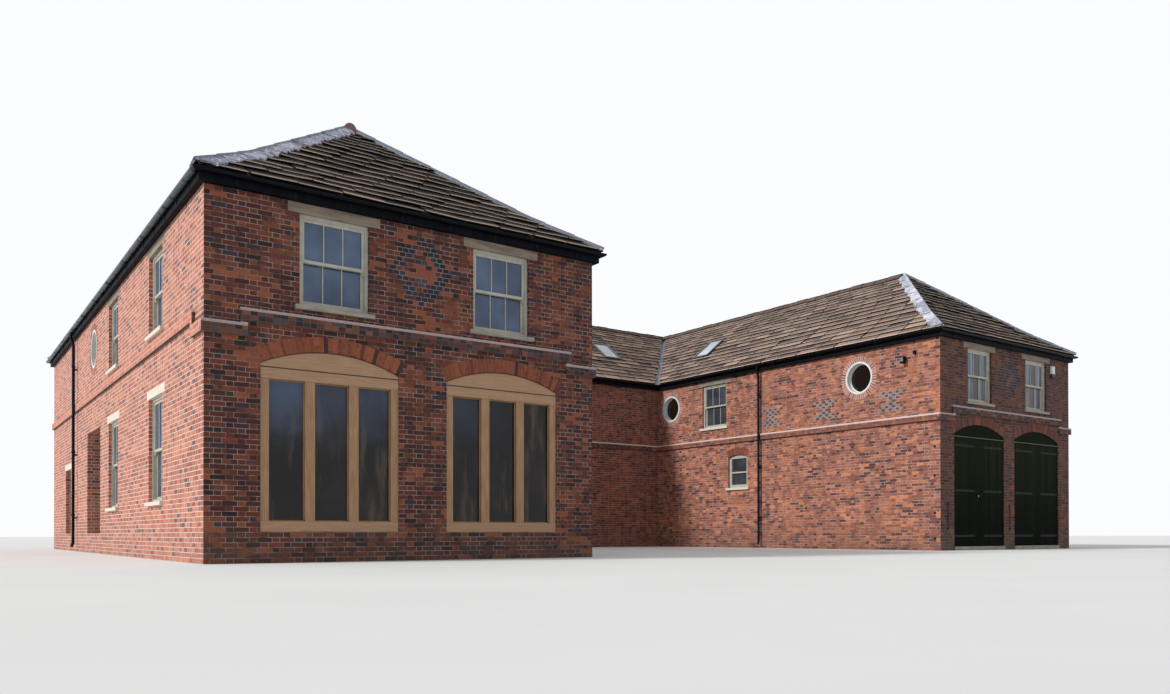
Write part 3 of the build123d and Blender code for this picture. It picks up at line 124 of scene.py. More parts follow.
class Wiring:
    """Adds nodes to a tree one call at a time; a value is a plain number or a node's output."""

    def __init__(self, tree):
        self.tree = tree

    def put(self, socket, value):
        if isinstance(value, Value):
            value = value.socket
        if isinstance(value, bpy.types.NodeSocket):
            self.tree.links.new(value, socket)
        else:
            socket.default_value = value

    def node(self, kind, inputs=(), **settings):
        made = self.tree.nodes.new(kind)
        for key, value in settings.items():
            setattr(made, key, value)
        for key, value in dict(inputs).items():
            self.put(made.inputs[key], value)
        return made

    def value(self, kind, inputs=(), output=0, **settings):
        """Adds a node and gives one of its outputs."""
        return Value(self, self.node(kind, inputs, **settings).outputs[output])

    def math(self, operation, *values):
        return self.value("ShaderNodeMath", enumerate(values), operation=operation)

    def ease(self, value, low, high):
        """Rises smoothly from 0 to 1 as the value goes from low to high."""
        return self.value("ShaderNodeMapRange", {0: value, 1: low, 2: high},
                          interpolation_type="SMOOTHSTEP")

    def mix(self, share, first, second, blend="MIX"):
        return self.value("ShaderNodeMix", {0: share, 6: first, 7: second}, output=2,
                          data_type="RGBA", blend_type=blend)

    def noise(self, place, scale, detail=3.0, roughness=0.55):
        return self.value("ShaderNodeTexNoise", {"Vector": place, "Scale": scale,
                                                 "Detail": detail, "Roughness": roughness})

    def draw(self, x, y, z, output="Value"):
        """Random number, or three as a colour, for each whole place."""
        return self.value("ShaderNodeTexWhiteNoise", {"Vector": self.join(x, y, z)}, output)

    def split(self, vector):
        parts = self.node("ShaderNodeSeparateXYZ", {0: vector}).outputs
        return [Value(self, part) for part in parts]

    def join(self, x, y, z):
        return self.value("ShaderNodeCombineXYZ", {0: x, 1: y, 2: z})

    def steps(self, value, colours, interpolation="CONSTANT"):
        """Colour picked by a value from 0 to 1 out of rows of start, red, green and blue."""
        ramp = self.node("ShaderNodeValToRGB", {0: value})
        ramp.color_ramp.interpolation = interpolation
        for place, (start, *colour) in enumerate(colours):
            if place < 2:
                stop = ramp.color_ramp.elements[place]
                stop.position = start
            else:
                stop = ramp.color_ramp.elements.new(start)
            stop.color = tint(*colour)
        return Value(self, ramp.outputs[0])


def tint(red, green, blue):
    """Colour written as it looks on a screen, from 0 to 255, turned into a shader's numbers."""
    return tuple((c / 255) ** 2.2 for c in (red, green, blue)) + (1.0,)


class Finish(Wiring):
    """A material with its shader, and the place on the object that its patterns follow."""

    def __init__(self, name, roughness=0.6, **sockets):
        self.material = bpy.data.materials.new(name)
        self.material.use_nodes = True
        super().__init__(self.material.node_tree)
        self.shader = self.tree.nodes["Principled BSDF"]
        self.shader.inputs["Roughness"].default_value = roughness
        for socket, value in sockets.items():
            self.shader.inputs[socket.replace("_", " ")].default_value = value
        coordinates = self.node("ShaderNodeTexCoord")
        self.place = Value(self, coordinates.outputs["Object"])
        self.facing = Value(self, coordinates.outputs["Normal"])

    def stretched(self, x, y, z):
        """The place with each way scaled, so that a pattern on it runs longer or shorter."""
        return self.value("ShaderNodeMapping", {"Vector": self.place, "Scale": (x, y, z)})

    def marked(self, name, output="Fac"):
        """What a piece's own mesh says at each point, such as the tone of each brick."""
        return self.value("ShaderNodeAttribute", output=output, attribute_name=name)

    def pitted(self, colour, grain, share, pit, start=0.3):
        """Colour darkened towards a pit's colour in the low places of a grain."""
        shade = self.steps(grain, ((start, *pit), (0.7, 255, 255, 255)), "EASE")
        return self.mix(share, colour, shade, "MULTIPLY")

    def colour(self, value):
        self.put(self.shader.inputs["Base Color"], value)

    def relief(self, height, depth, strength=1.0):
        bump = self.value("ShaderNodeBump", {"Height": height, "Distance": depth,
                                             "Strength": strength})
        self.put(self.shader.inputs["Normal"], bump)


def flecked(name, first, second, grain, relief=0.0, blend=None, **sockets):
    """Finish of two colours mixed by a grain of a given scale, detail and roughness."""
    w = Finish(name, **sockets)
    fleck = w.noise(w.place, *grain)
    w.colour(w.mix(w.ease(fleck, *blend) if blend else fleck, first, second))
    if relief:
        w.relief(fleck, relief)
    return w.material


def place(name, data):
    """Puts a mesh, lamp or camera in the scene."""
    piece = bpy.data.objects.new(name, data)
    bpy.context.scene.collection.objects.link(piece)
    return piece


world = bpy.data.worlds.new("surround")
bpy.context.scene.world = world
world.use_nodes = True
surround = Wiring(world.node_tree)
background = world.node_tree.nodes["Background"]
rays = surround.node("ShaderNodeLightPath").outputs
seen = surround.math("MAXIMUM", rays["Is Camera Ray"], rays["Is Glossy Ray"])
seen = most(seen, rays["Is Transmission Ray"])
surround.put(background.inputs["Strength"], seen * (1 - SURROUND_LIGHT) + SURROUND_LIGHT)
background.inputs["Color"].default_value = SURROUND_COLOUR

floor_mesh = bpy.data.meshes.new("floor")
floor_shape = bmesh.new()
bmesh.ops.create_circle(floor_shape, cap_ends=True, radius=FLOOR_RADIUS, segments=96)
bmesh.ops.translate(floor_shape, verts=floor_shape.verts, vec=(0, 0, -FLOOR_DROP))
floor_shape.to_mesh(floor_mesh)
floor_mesh.materials.append(flecked("floor_paint", tint(226, 226, 224), tint(236, 236, 234),
                                    (0.4,), roughness=0.9))
place("floor", floor_mesh)

sun_data = bpy.data.lights.new("soft_sun", "SUN")
sun_data.energy = SUN_LIGHT
sun_data.angle = radians(SUN_SOFTNESS)
sun = place("soft_sun", sun_data)
sun.rotation_mode = "QUATERNION"
sun.rotation_quaternion = Vector(SUN_FROM).to_track_quat("Z", "Y")

camera_data = bpy.data.cameras.new("camera")
camera_data.lens = CAMERA_LENS
camera_data.shift_y = CAMERA_SHIFT
camera_data.clip_end = 3 * FLOOR_RADIUS
camera = place("camera", camera_data)
camera.location = CAMERA_PLACE
camera.rotation_mode = "QUATERNION"
camera.rotation_quaternion = (
    Matrix.Rotation(radians(CAMERA_HEADING - 90), 3, "Z")
    @ Matrix.Rotation(radians(90 + CAMERA_PITCH), 3, "X")
    @ Matrix.Rotation(radians(CAMERA_ROLL), 3, "Z")).to_quaternion()
bpy.context.scene.camera = camera
bpy.context.scene.view_settings.view_transform = "Standard"

# The walls: hard red facing bricks laid in courses, headers and stretchers by turns, in pale
# lime mortar. Burnt blue headers make a lozenge on each end and three crosses in the court.
COURSE = 0.08
BOND_LENGTH = 0.3525
HEADER_LENGTH = BOND_LENGTH / 3
STRETCHER_SHARE = 2 / 3
JOINT = 0.0045
JOINT_EDGE = (-0.0015, 0.0025)
WANDER = 0.007
MORTAR = tint(150, 134, 124)
DIRTY_MORTAR = tint(84, 68, 62)
BURNT_HEADERS = ((0.0, 26, 24, 32), (0.36, 50, 49, 61), (0.78, 104, 104, 120))
BURNT_JOINT = tint(146, 146, 160)
# Every other header of the crosses is painted pale grey, a painted reflection of the sky on glazed
# burnt headers; the others are a darker red.
CROSS_HEADERS = (tint(126, 80, 70), tint(148, 151, 156))
STRING_SHADOW_BAND = (0.055, 0.02, 0.01)
CROSS_WAIST = 0.15
CROSS_RISE = 0.27


def brick_face(w, gap, joint=JOINT):
    """1 on the face of a brick and 0 in the joint, from the distance to the brick's edge."""
    return w.ease(gap, joint + JOINT_EDGE[0], joint + JOINT_EDGE[1])


def brick_bond(w, along, up, joint=JOINT):
    """Lays headers and stretchers by turns: gives each brick's face, random draws and place."""
    row = floor(up / COURSE)
    slid = along / BOND_LENGTH + row % 2.0 * 0.5
    repeat = floor(slid)
    part = slid.fraction()
    header = part > STRETCHER_SHARE
    length = STRETCHER_SHARE - header * (2 * STRETCHER_SHARE - 1)
    across = part - header * STRETCHER_SHARE
    end_gap = BOND_LENGTH * least(across, length - across)
    lift = (up / COURSE).fraction()
    bed_gap = COURSE * least(lift, 1.0 - lift)
    number = repeat + header * 0.5
    draws = w.split(w.draw(number, row, 1.0, "Color"))
    laid = w.join(number * BOND_LENGTH, row * COURSE, 1.0)
    return brick_face(w, least(end_gap, bed_gap), joint), draws, laid


def wall_run(w):
    """Distance along a wall and height, whichever way the wall faces."""
    x, y, z = w.split(w.place)
    nx, ny = w.split(w.facing)[:2]
    sideways = abs(nx) > abs(ny)
    return sideways * y + (1.0 - sideways) * x, z


def header_bond(w, along, up, lap):
    """Lays headers alone, each course shifted by a lap: face, middle, level, number and row."""
    row = floor(up / COURSE)
    shift = row % 2.0 * lap
    slid = along / HEADER_LENGTH + shift
    number = floor(slid)
    end_gap = HEADER_LENGTH * slid.to_and_fro(0.5)
    bed_gap = COURSE * (up / COURSE).to_and_fro(0.5)
    middle = HEADER_LENGTH * (number + 0.5 - shift)
    level = (row + 0.5) * COURSE
    return brick_face(w, least(end_gap, bed_gap)), middle, level, number, row


def away(value, centre, half):
    """Distance from a centre as a share of half a size."""
    return abs(value - centre) / half


def burnt_pattern(w, along, up, colour, face, lozenges, crosses):
    """Sets burnt headers in the bond: ringed lozenges, and crosses of every other header.
    Gives the wall's colour and brick faces with them, and where the lozenges are."""
    marked = 0.0
    for centre, height, half in lozenges:
        own_face, middle, level, number, row = header_bond(w, along - centre, up, 0.5)
        tip = away(middle, 0.0, half) + away(level, height, half)
        pick = w.draw(number, row, 9.0)
        outer, inner = between(tip, 0.88, 1.06), between(tip, 0.72, 0.88)
        heart, core = between(tip, 0.33, 0.46), tip < 0.08
        missing = pick > 0.93
        burnt = most(most(outer, inner), most(heart, core)) * (1.0 - missing)
        tone = pick * 0.34 + (inner * 0.16 + most(heart, core) * 0.34)
        colour = w.mix(burnt, colour, w.steps(tone, BURNT_HEADERS, "LINEAR"))
        marked = most(marked, burnt)
        face = burnt * own_face + (1.0 - burnt) * face
    for centre, height in crosses:
        own_face, middle, level, number, row = header_bond(w, along - centre, up, 1.0)
        drop = away(level, height, 1.0)
        spread = CROSS_WAIST + drop * (HEADER_LENGTH / COURSE)
        burnt = (away(middle, 0.0, 1.0) < spread) * (drop < CROSS_RISE)
        # Painted reflection: every other header of a cross takes the pale grey.
        colour = w.mix(burnt, colour, w.mix(number % 2.0 < 0.5, *CROSS_HEADERS))
        face = burnt * own_face + (1.0 - burnt) * face
    return colour, face, marked


def brickwork(name, palette, mortar=MORTAR, lozenges=(), crosses=(), soot=0.35, stain=0.25,
              blush=tint(170, 96, 64), blushing=0.5, spread=0.40, joint=JOINT, mottling=0.6,
              grime=0.8, string_shadow=(0.0, 0.0), smear=0.0):
    """Brick finish of one wall, from rows of share, red, green and blue for its bricks.
    Blushing is how far warmer batches show, spread how much the bricks' tones differ, smear
    how many faces are worn back to orange, and the last pair the level and strength of a
    dark line painted under the string course as its shadow."""
    w = Finish(name, roughness=0.88)
    along, up = wall_run(w)
    wander = (w.noise(w.place, 9.0) - 0.5) * WANDER
    along, up = along + wander, up + wander
    face, draws, laid = brick_bond(w, along, up, joint)
    colour = w.steps(draws[0], palette)
    batch = w.noise(w.place, 1.25) + draws[2] * 0.12
    colour = w.mix(w.ease(batch, 0.63, 0.68) * blushing, colour, blush)
    shade = 0.98 - spread / 2 + draws[1] * spread
    colour = w.mix(1.0, colour, w.join(shade, shade, shade), "MULTIPLY")
    colour, face, marked = burnt_pattern(w, along, up, colour, face, lozenges, crosses)
    mottle = w.noise(w.place, 38.0, 5.0, 0.7)
    colour = w.pitted(colour, mottle, mottling, (140, 130, 126))
    patch = w.ease(w.noise(w.place, 0.9, 4.0), 0.35, 0.75)
    colour = w.mix(patch * stain, colour, tint(60, 48, 46))
    dirt = w.ease(w.noise(w.place, 4.0, 5.0), 0.42, 0.62) * grime
    bed = w.mix(marked * 0.6, w.mix(dirt, mortar, DIRTY_MORTAR), BURNT_JOINT)
    colour = w.mix(face, bed, colour)
    soft = w.noise(laid, 2.6) + draws[2] * 0.14
    worn = w.ease(soft, 0.685, 0.725) * ((1.0 - marked) * smear)
    colour = w.mix(worn, colour, w.mix(mottle, tint(112, 62, 47), tint(184, 108, 74)))
    # Painted shadow: a dark band just under the string course.
    level, strength = string_shadow
    low, full, high = STRING_SHADOW_BAND
    under = w.ease(up, level - low, level - full) * (up < level + high)
    colour = w.mix(under * strength, colour, tint(40, 28, 28))
    splash = w.ease(up, 0.9, 0.0) * w.noise(w.place, 2.4, 4.0)
    w.colour(w.mix(splash * soot, colour, tint(106, 100, 90)))
    w.relief(face * 0.8 + mottle * (mottling * 0.55), 0.008)
    return w.material


# Each wall has its own palette and mortar, partly the bricks' own mix and partly painted light:
# darker on the front and end walls, which stand in shade, and paler on the outer and court walls,
# which stand in sun.
FRONT_BRICKS = ((0.0, 108, 54, 42), (0.20, 76, 39, 35), (0.36, 122, 62, 44),
                (0.50, 88, 47, 42), (0.64, 114, 58, 44), (0.74, 50, 30, 31),
                (0.86, 144, 80, 53), (0.93, 66, 52, 64))
OUTER_BRICKS = ((0.0, 192, 120, 97), (0.25, 178, 104, 84), (0.42, 204, 130, 104),
                (0.60, 168, 98, 82), (0.74, 206, 138, 114), (0.90, 124, 92, 92))
COURT_BRICKS = ((0.0, 184, 114, 92), (0.22, 164, 98, 82), (0.40, 206, 130, 98),
                (0.54, 140, 88, 78), (0.68, 184, 118, 102), (0.80, 100, 66, 62),
                (0.90, 222, 140, 98))
END_BRICKS = ((0.0, 104, 62, 52), (0.22, 82, 52, 48), (0.40, 120, 70, 56),
              (0.56, 72, 48, 47), (0.70, 98, 64, 58), (0.82, 54, 38, 40),
              (0.92, 134, 80, 60))
PLAIN_BRICKS = ((0.0, 152, 88, 70), (0.25, 132, 76, 62), (0.45, 168, 98, 74),
                (0.62, 116, 70, 62), (0.78, 144, 88, 74), (0.90, 84, 56, 54))
WALLS = {
    "front_brick": (FRONT_BRICKS, ("left_wing_front_wall",), {
        "lozenges": ((-9.19, 5.0, 0.60),), "mortar": tint(164, 148, 142), "stain": 0.42,
        "blush": tint(148, 86, 58), "blushing": 0.65, "grime": 0.9, "smear": 0.7}),
    "outer_brick": (OUTER_BRICKS, ("left_wing_outer_wall", "left_wing_doorway_walls",
                                   "left_wing_outer_piers"), {
        "mortar": tint(236, 216, 204), "stain": 0.10, "spread": 0.26, "joint": 0.0057,
        "blush": tint(200, 126, 98), "mottling": 0.25, "grime": 0.2, "string_shadow": (3.79, 0.75)}),
    "court_brick": (COURT_BRICKS, ("right_wing_court_wall",), {
        "crosses": ((-3.395, 4.20), (-5.575, 4.20), (-7.955, 4.20)),
        "mortar": tint(206, 184, 172), "blush": tint(214, 130, 88), "blushing": 0.45,
        "string_shadow": (3.55, 0.85)}),
    "end_brick": (END_BRICKS, ("right_wing_front_piers", "right_wing_front_upper_wall"), {
        "lozenges": ((9.405, 4.98, 0.58),), "mortar": tint(128, 110, 104), "soot": 0.7,
        "blush": tint(128, 78, 58)}),
    "plain_brick": (PLAIN_BRICKS, ("left_wing_court_wall", "back_range_court_wall",
                                   "back_range_rear_wall", "right_wing_outer_wall"),
                    {"mortar": tint(176, 156, 146)}),
}


def dress(material, *names):
    """Gives carried-over solids their finish."""
    for name in names:
        for place in range(len(nodes[name].data.materials)):
            nodes[name].material_slots[place].material = material


for name, (palette, walls, extras) in WALLS.items():
    dress(brickwork(name, palette, **extras), *walls)

# The arches over the screens, coach doors and court windows, and the rings round the round
# windows: rubbed orange bricks on end, a thin joint between them, each cut a little wedge.
RUBBED_BRICKS = ((0.0, 152, 82, 56), (0.3, 138, 74, 52), (0.55, 164, 90, 60),
                 (0.78, 112, 62, 48), (0.88, 70, 44, 40))
COACH_BRICKS = ((0.0, 122, 68, 54), (0.3, 104, 58, 48), (0.55, 136, 76, 58),
                (0.75, 88, 54, 48), (0.88, 62, 44, 44))
RING_BRICKS = ((0.0, 182, 128, 112), (0.3, 162, 106, 92), (0.6, 194, 142, 126),
               (0.85, 138, 88, 78))
VOUSSOIR_PITCH = 0.078
VOUSSOIR_JOINT = 0.009
VOUSSOIR_PROUD = 0.003
RING_PITCH = 0.074
RING_JOINT = 0.018
RING_PROUD = 0.004
RING_DEPTH = 0.15
FIRST_ARCH_SEED = 11

# Way along each side of the plan, and the corner where it starts: x, y and turn about z
SIDE_START = {
    "left_front": (-12.78, -9.475, 0), "left_court": (-5.53, -9.475, 90),
    "back_court": (-5.53, 2.255, 0), "right_court": (6.03, 2.255, -90),
    "right_front": (6.03, -9.475, 0), "right_outer": (12.78, -9.475, 90),
    "rear": (12.78, 9.475, 180), "left_outer": (-12.78, 9.475, -90),
}


def side_turn(side):
    """Matrix of a side's turn about z."""
    return Matrix.Rotation(radians(SIDE_START[side][2]), 3, "Z")


def on_side(side, along=0.0, out=0.0, up=0.0):
    """Point at a distance along a side of the building, out from its face and up."""
    x, y = SIDE_START[side][:2]
    return Vector((x, y, up)) + side_turn(side) @ Vector((along, -out, 0))


def spot(side, along, up=0.0):
    """Point on a side's face, with the side's turn in degrees."""
    return on_side(side, along, 0, up), SIDE_START[side][2]


def new_tree(name, **kinds):
    """Geometry Nodes tree with named inputs, listed by kind, and its inputs' values."""
    tree = bpy.data.node_groups.new(name, "GeometryNodeTree")
    tree.is_modifier = True
    for kind, titles in {"Geometry": "Geometry", **kinds}.items():
        for title in titles.split():
            tree.interface.new_socket(title.replace("_", " "), in_out="INPUT",
                                      socket_type=f"NodeSocket{kind}")
    tree.interface.new_socket("Geometry", in_out="OUTPUT", socket_type="NodeSocketGeometry")
    w = Wiring(tree)
    given = w.node("NodeGroupInput").outputs
    return tree, w, {socket.name: Value(w, socket) for socket in given if socket.name}


def end_tree(w, geometry, material):
    """Every tree ends in plain geometry with its material on it."""
    real = w.value("GeometryNodeRealizeInstances", {"Geometry": geometry})
    done = w.value("GeometryNodeSetMaterial", {"Geometry": real, "Material": material})
    w.node("NodeGroupOutput", {0: done})


def moved(w, geometry, place, turn):
    """Geometry turned about z and moved to its place."""
    return w.value("GeometryNodeTransform", {"Geometry": geometry, "Translation": place,
                                             "Rotation": w.join(0.0, 0.0, turn)})


def toned(w, geometry, tone):
    """Each copy keeps its tone, for its material to read."""
    return w.value("GeometryNodeStoreNamedAttribute", {
        "Geometry": geometry, "Name": "tone", "Value": tone}, domain="INSTANCE")


def random(w, seed, low=0.0, high=1.0):
    """Random number for each copy."""
    return w.value("FunctionNodeRandomValue", {2: low, 3: high, "Seed": seed}, output=1)


def grow(name, tree, mesh=None, **values):
    """Runs a tree with these inputs and returns its result as a plain mesh."""
    seed = place(name, mesh or bpy.data.meshes.new(name))
    modifier = seed.modifiers.new(name, "NODES")
    modifier.node_group = tree
    sockets = {item.name: item.identifier for item in tree.interface.items_tree
               if item.in_out == "INPUT"}
    for title, value in values.items():
        modifier[sockets[title.replace("_", " ")]] = value
    evaluated = seed.evaluated_get(bpy.context.evaluated_depsgraph_get())
    result = bpy.data.meshes.new_from_object(evaluated)
    seed.modifiers.remove(modifier)
    bpy.data.objects.remove(seed)
    return result


def gather(name, meshes, body="building"):
    """Joins meshes made in place into one finished piece on a body."""
    joined = bmesh.new()
    for mesh in meshes:
        joined.from_mesh(mesh)
    whole = bpy.data.meshes.new(name)
    joined.to_mesh(whole)
    joined.free()
    for material in meshes[0].materials:
        whole.materials.append(material)
    piece = place(name, whole)
    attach(piece, body)
    return piece


VOUSSOIRS, w, given = new_tree(
    "voussoirs", Int="Count Seed", Vector="Place", Material="Brick",
    Float="Radius First_Angle Last_Angle Ring_Depth Wall_Depth Proud Joint Turn")
count, proud, ring_depth = given["Count"], given["Proud"], given["Ring Depth"]
spots = w.value("GeometryNodeMeshLine", {"Count": count, "Offset": (0, 0, 0)})
share = (w.value("GeometryNodeInputIndex") + 0.5) / count
sweep = given["Last Angle"] - given["First Angle"]
angle = given["First Angle"] + share * sweep
mean = given["Radius"] + ring_depth * 0.5
set_out = w.value("GeometryNodeSetPosition", {"Geometry": spots, "Position": w.join(
    mean * w.math("COSINE", angle), 0.0, mean * w.math("SINE", angle))})
width = mean * abs(sweep) / count - given["Joint"]
block = w.value("GeometryNodeMeshCube", {"Size": w.join(
    width, given["Wall Depth"] + proud, ring_depth + proud * 1.4)})
bx, by, bz = w.split(w.value("GeometryNodeInputPosition"))
block = w.value("GeometryNodeSetPosition", {"Geometry": block, "Position": w.join(
    bx * (1.0 + bz / mean), by + (given["Wall Depth"] - proud) * 0.5, bz - proud * 0.7)})
lean = random(w, given["Seed"], -0.006, 0.006)
laid = w.value("GeometryNodeInstanceOnPoints", {
    "Points": set_out, "Instance": block, "Rotation": w.join(lean, pi / 2 - angle, 0.0)})
laid = toned(w, laid, random(w, given["Seed"] + 7))
end_tree(w, moved(w, laid, given["Place"], given["Turn"]), given["Brick"])


def rubbed(name, palette, burns=0.6):
    """Brick finish picked brick by brick by each one's own tone, with burnt spots."""
    w = Finish(name, roughness=0.86)
    speck = w.noise(w.place, 60.0, 5.0, 0.7)
    colour = w.pitted(w.steps(w.marked("tone"), palette), speck, 0.5, (160, 148, 140))
    burn = w.ease(w.noise(w.place, 11.0, 4.0, 0.7), 0.54, 0.64)
    colour = w.mix(burn * burns, colour, tint(58, 34, 30))
    stain = w.ease(w.noise(w.place, 3.0, 4.0), 0.45, 0.8)
    w.colour(w.mix(stain * 0.4, colour, tint(92, 70, 62)))
    w.relief(speck, 0.004)
    return w.material


rubbed_brick = rubbed("rubbed_brick", RUBBED_BRICKS)
coach_brick = rubbed("coach_brick", COACH_BRICKS)
ring_brick = rubbed("ring_brick", RING_BRICKS, 0.1)
dress(flecked("joint_mortar", tint(112, 92, 82), tint(152, 130, 116), (90.0, 4.0), 0.003,
              roughness=0.92), "left_wing_arches", "right_wing_arches", "court_window_arches")
dress(flecked("ring_mortar", tint(206, 182, 170), tint(230, 210, 200), (90.0, 4.0), 0.003,
              roughness=0.92), "oculus_rings")
seeds = iter(range(FIRST_ARCH_SEED, 99))


def arch_radius(width, rise):
    """Radius of a segmental arch from its width and rise."""
    return (width * width / 4 + rise * rise) / (2 * rise)


def curve(side, along, level, radius, angles, pitch, brick, **sizes):
    """Bricks on end round an arc, from one angle to another."""
    sweep = abs(angles[1] - angles[0])
    count = round((radius + sizes["Ring_Depth"] / 2) * sweep / pitch)
    return grow("curve", VOUSSOIRS, Count=count, Radius=radius, First_Angle=angles[0],
                Last_Angle=angles[1], Place=on_side(side, along, 0, level),
                Turn=radians(SIDE_START[side][2]), Seed=next(seeds), Brick=brick, **sizes)


def arch(side, along, spring, width, rise, depth, wall_depth, brick):
    """Bricks of one segmental arch."""
    radius = arch_radius(width, rise)
    half = atan2(width / 2, radius - rise)
    return curve(side, along, spring + rise - radius, radius, (pi / 2 + half, pi / 2 - half),
                 VOUSSOIR_PITCH, brick, Ring_Depth=depth, Wall_Depth=wall_depth,
                 Proud=VOUSSOIR_PROUD, Joint=VOUSSOIR_JOINT)


# Each run of arches: its places, then level of spring, width, rise, depth and wall depth
ARCHES = {
    "screen_arch_bricks": ((("left_front", 2.01), ("left_front", 5.24)),
                           (3.15, 2.33, 0.26, 0.24, 0.34), rubbed_brick),
    "coach_arch_bricks": ((("right_front", 1.87), ("right_front", 4.88)),
                          (3.2, 2.47, 0.29, 0.24, 0.34), coach_brick),
    "court_arch_bricks": ((("left_court", 7.6), ("right_court", 4.13), ("back_court", 3.0),
                           ("back_court", 6.5)), (3.03, 0.9, 0.09, 0.225, 0.1), rubbed_brick),
}
ROUND_WINDOWS = (("left_court", 2.66), ("left_court", 11.0), ("right_court", 0.73),
                 ("right_court", 9.07), ("left_outer", 8.15))
ROUND_LEVEL = 5.0
ROUND_RADIUS = 0.48
RING_WALL_DEPTH = 0.1
for name, (places, sizes, brick) in ARCHES.items():
    gather(name, [arch(side, along, *sizes, brick) for side, along in places])
gather("round_window_bricks", [
    curve(side, along, ROUND_LEVEL, ROUND_RADIUS, (0.0, 2 * pi), RING_PITCH, ring_brick,
          Ring_Depth=RING_DEPTH, Wall_Depth=RING_WALL_DEPTH, Proud=RING_PROUD,
          Joint=RING_JOINT) for side, along in ROUND_WINDOWS])

# The string course: two courses of projecting brick, burnt ones among the red, with a
# sloping fillet of pale mortar along its top edge to throw off the rain.
STRING_BRICKS = ((0.0, 98, 62, 56), (0.24, 66, 52, 58), (0.46, 120, 74, 60),
                 (0.62, 48, 42, 50), (0.78, 84, 76, 88), (0.90, 138, 86, 64))
# The court's and the outer wall's string bricks follow those walls' paler palettes: partly their
# own colour, partly painted sunlight.
COURT_STRING = ((0.0, 168, 104, 86), (0.45, 146, 90, 76), (0.72, 186, 118, 92))
OUTER_STRING = ((0.0, 192, 120, 97), (0.35, 178, 104, 84), (0.75, 204, 130, 104))
STRING_TOPS = (3.71, 3.95)
FILLET = 0.045
COURT_SPAN = ((5.7, 6.031), (-9.47, 2.3))
OUTER_FACE = -12.775
FRONT_FACE = -9.477
w = Finish("string_brick", roughness=0.88)
x, y, z = w.split(w.place)
along, up = wall_run(w)
lift = (up / COURSE).fraction()
across = along / HEADER_LENGTH
face = brick_face(w, least(COURSE * least(lift, 1.0 - lift),
                           HEADER_LENGTH * across.to_and_fro(0.5)))
pick = w.draw(floor(across), floor(up / COURSE), 5.0)
in_court = between(x, *COURT_SPAN[0]) * between(y, *COURT_SPAN[1])
outside = (x < OUTER_FACE) * (abs(w.split(w.facing)[0]) > 0.5)
colour = w.mix(in_court * 0.75, w.steps(pick, STRING_BRICKS), w.steps(pick, COURT_STRING))
speck = w.noise(w.place, 40.0, 5.0, 0.7)
colour = w.mix(face, tint(98, 84, 79), w.pitted(colour, speck, 0.5, (150, 142, 138)))
colour = w.mix(outside, colour, w.mix(face, tint(228, 206, 194), w.steps(pick, OUTER_STRING)))
fillet = 0.0
for top in STRING_TOPS:
    fillet = most(fillet, between(up, top - FILLET, top + 0.01))
pale = w.mix(y < FRONT_FACE, w.mix(speck, tint(200, 182, 174), tint(236, 222, 214)),
             w.mix(speck, tint(146, 130, 130), tint(206, 188, 186)))
w.colour(w.mix(fillet * (1.0 - outside), colour, pale))
w.relief(face + speck * 0.4, 0.006)
dress(w.material, "string_courses")

# Lintels over the sashes, long brown sandstone blocks rubbed flat, and weathered sills of a
# paler stone let into the jambs. Those low on the outer wall are newly cut and almost cream,
# and so are the sills in the court.
OUTER_STONES = -12.6
COURT_STONES = (5.7, 6.3)
COURT_STONES_FRONT = -9.2
for name, node, dark, light, pale_below, court_pale in (
        ("lintel_stone", "stone_lintels", tint(120, 109, 96), tint(152, 139, 124), 3.5, 0.0),
        ("sill_stone", "stone_sills", tint(136, 132, 122), tint(168, 164, 152), 5.0, 1.0)):
    w = Finish(name, roughness=0.85)
    x, y, z = w.split(w.place)
    grain = w.noise(w.place, 70.0, 6.0, 0.7)
    cloud = w.noise(w.stretched(1.0, 1.0, 7.0), 2.2, 5.0)
    colour = w.mix(w.ease(cloud, 0.3, 0.7), dark, light)
    colour = w.mix(w.ease(grain, 0.5, 0.8) * 0.35, colour, tint(92, 82, 70))
    fresh = most((x < OUTER_STONES) * (z < pale_below),
                 between(x, *COURT_STONES) * ((y > COURT_STONES_FRONT) * court_pale))
    w.colour(w.mix(fresh, colour, w.mix(cloud, tint(226, 218, 202), tint(206, 198, 182))))
    w.relief(grain + cloud * 0.5, 0.004)
    dress(w.material, node)

# The sash windows: boxed softwood frames painted a pale greyish cream, three panes to a sash,
# with slim glazing bars and a horn under each end of the upper sash.
SASH_LIGHT = 0.97
SASH_BAR = 0.022
SASH_HEAD = 0.105
MEETING_RAIL = 0.025
BAR_DEPTH = 0.018
UPPER_SASH_SETBACK = 0.110
SASH_STAGGER = 0.045
SASH_STILE = 0.05
HORN_HEIGHT = 0.06
HORN_WIDTH = 0.038
HORN_FRONT, HORN_BACK = 0.088, 0.132
CREAM = (tint(186, 183, 170), tint(160, 157, 146))
WHITE = (tint(226, 227, 224), tint(206, 207, 204))


def painted(name, clean, worn, roughness=0.5, scale=6.0, **sockets):
    """Oil paint brushed on timber, a little worn and dusty."""
    w = Finish(name, roughness=roughness, **sockets)
    brush = w.noise(w.stretched(9.0, 9.0, 1.0), 22.0, 4.0, 0.6)
    dust = w.noise(w.place, scale, 5.0, 0.65)
    w.colour(w.mix(brush * 0.18, w.mix(w.ease(dust, 0.35, 0.8), clean, worn), worn))
    w.relief(brush, 0.0012)
    return w.material


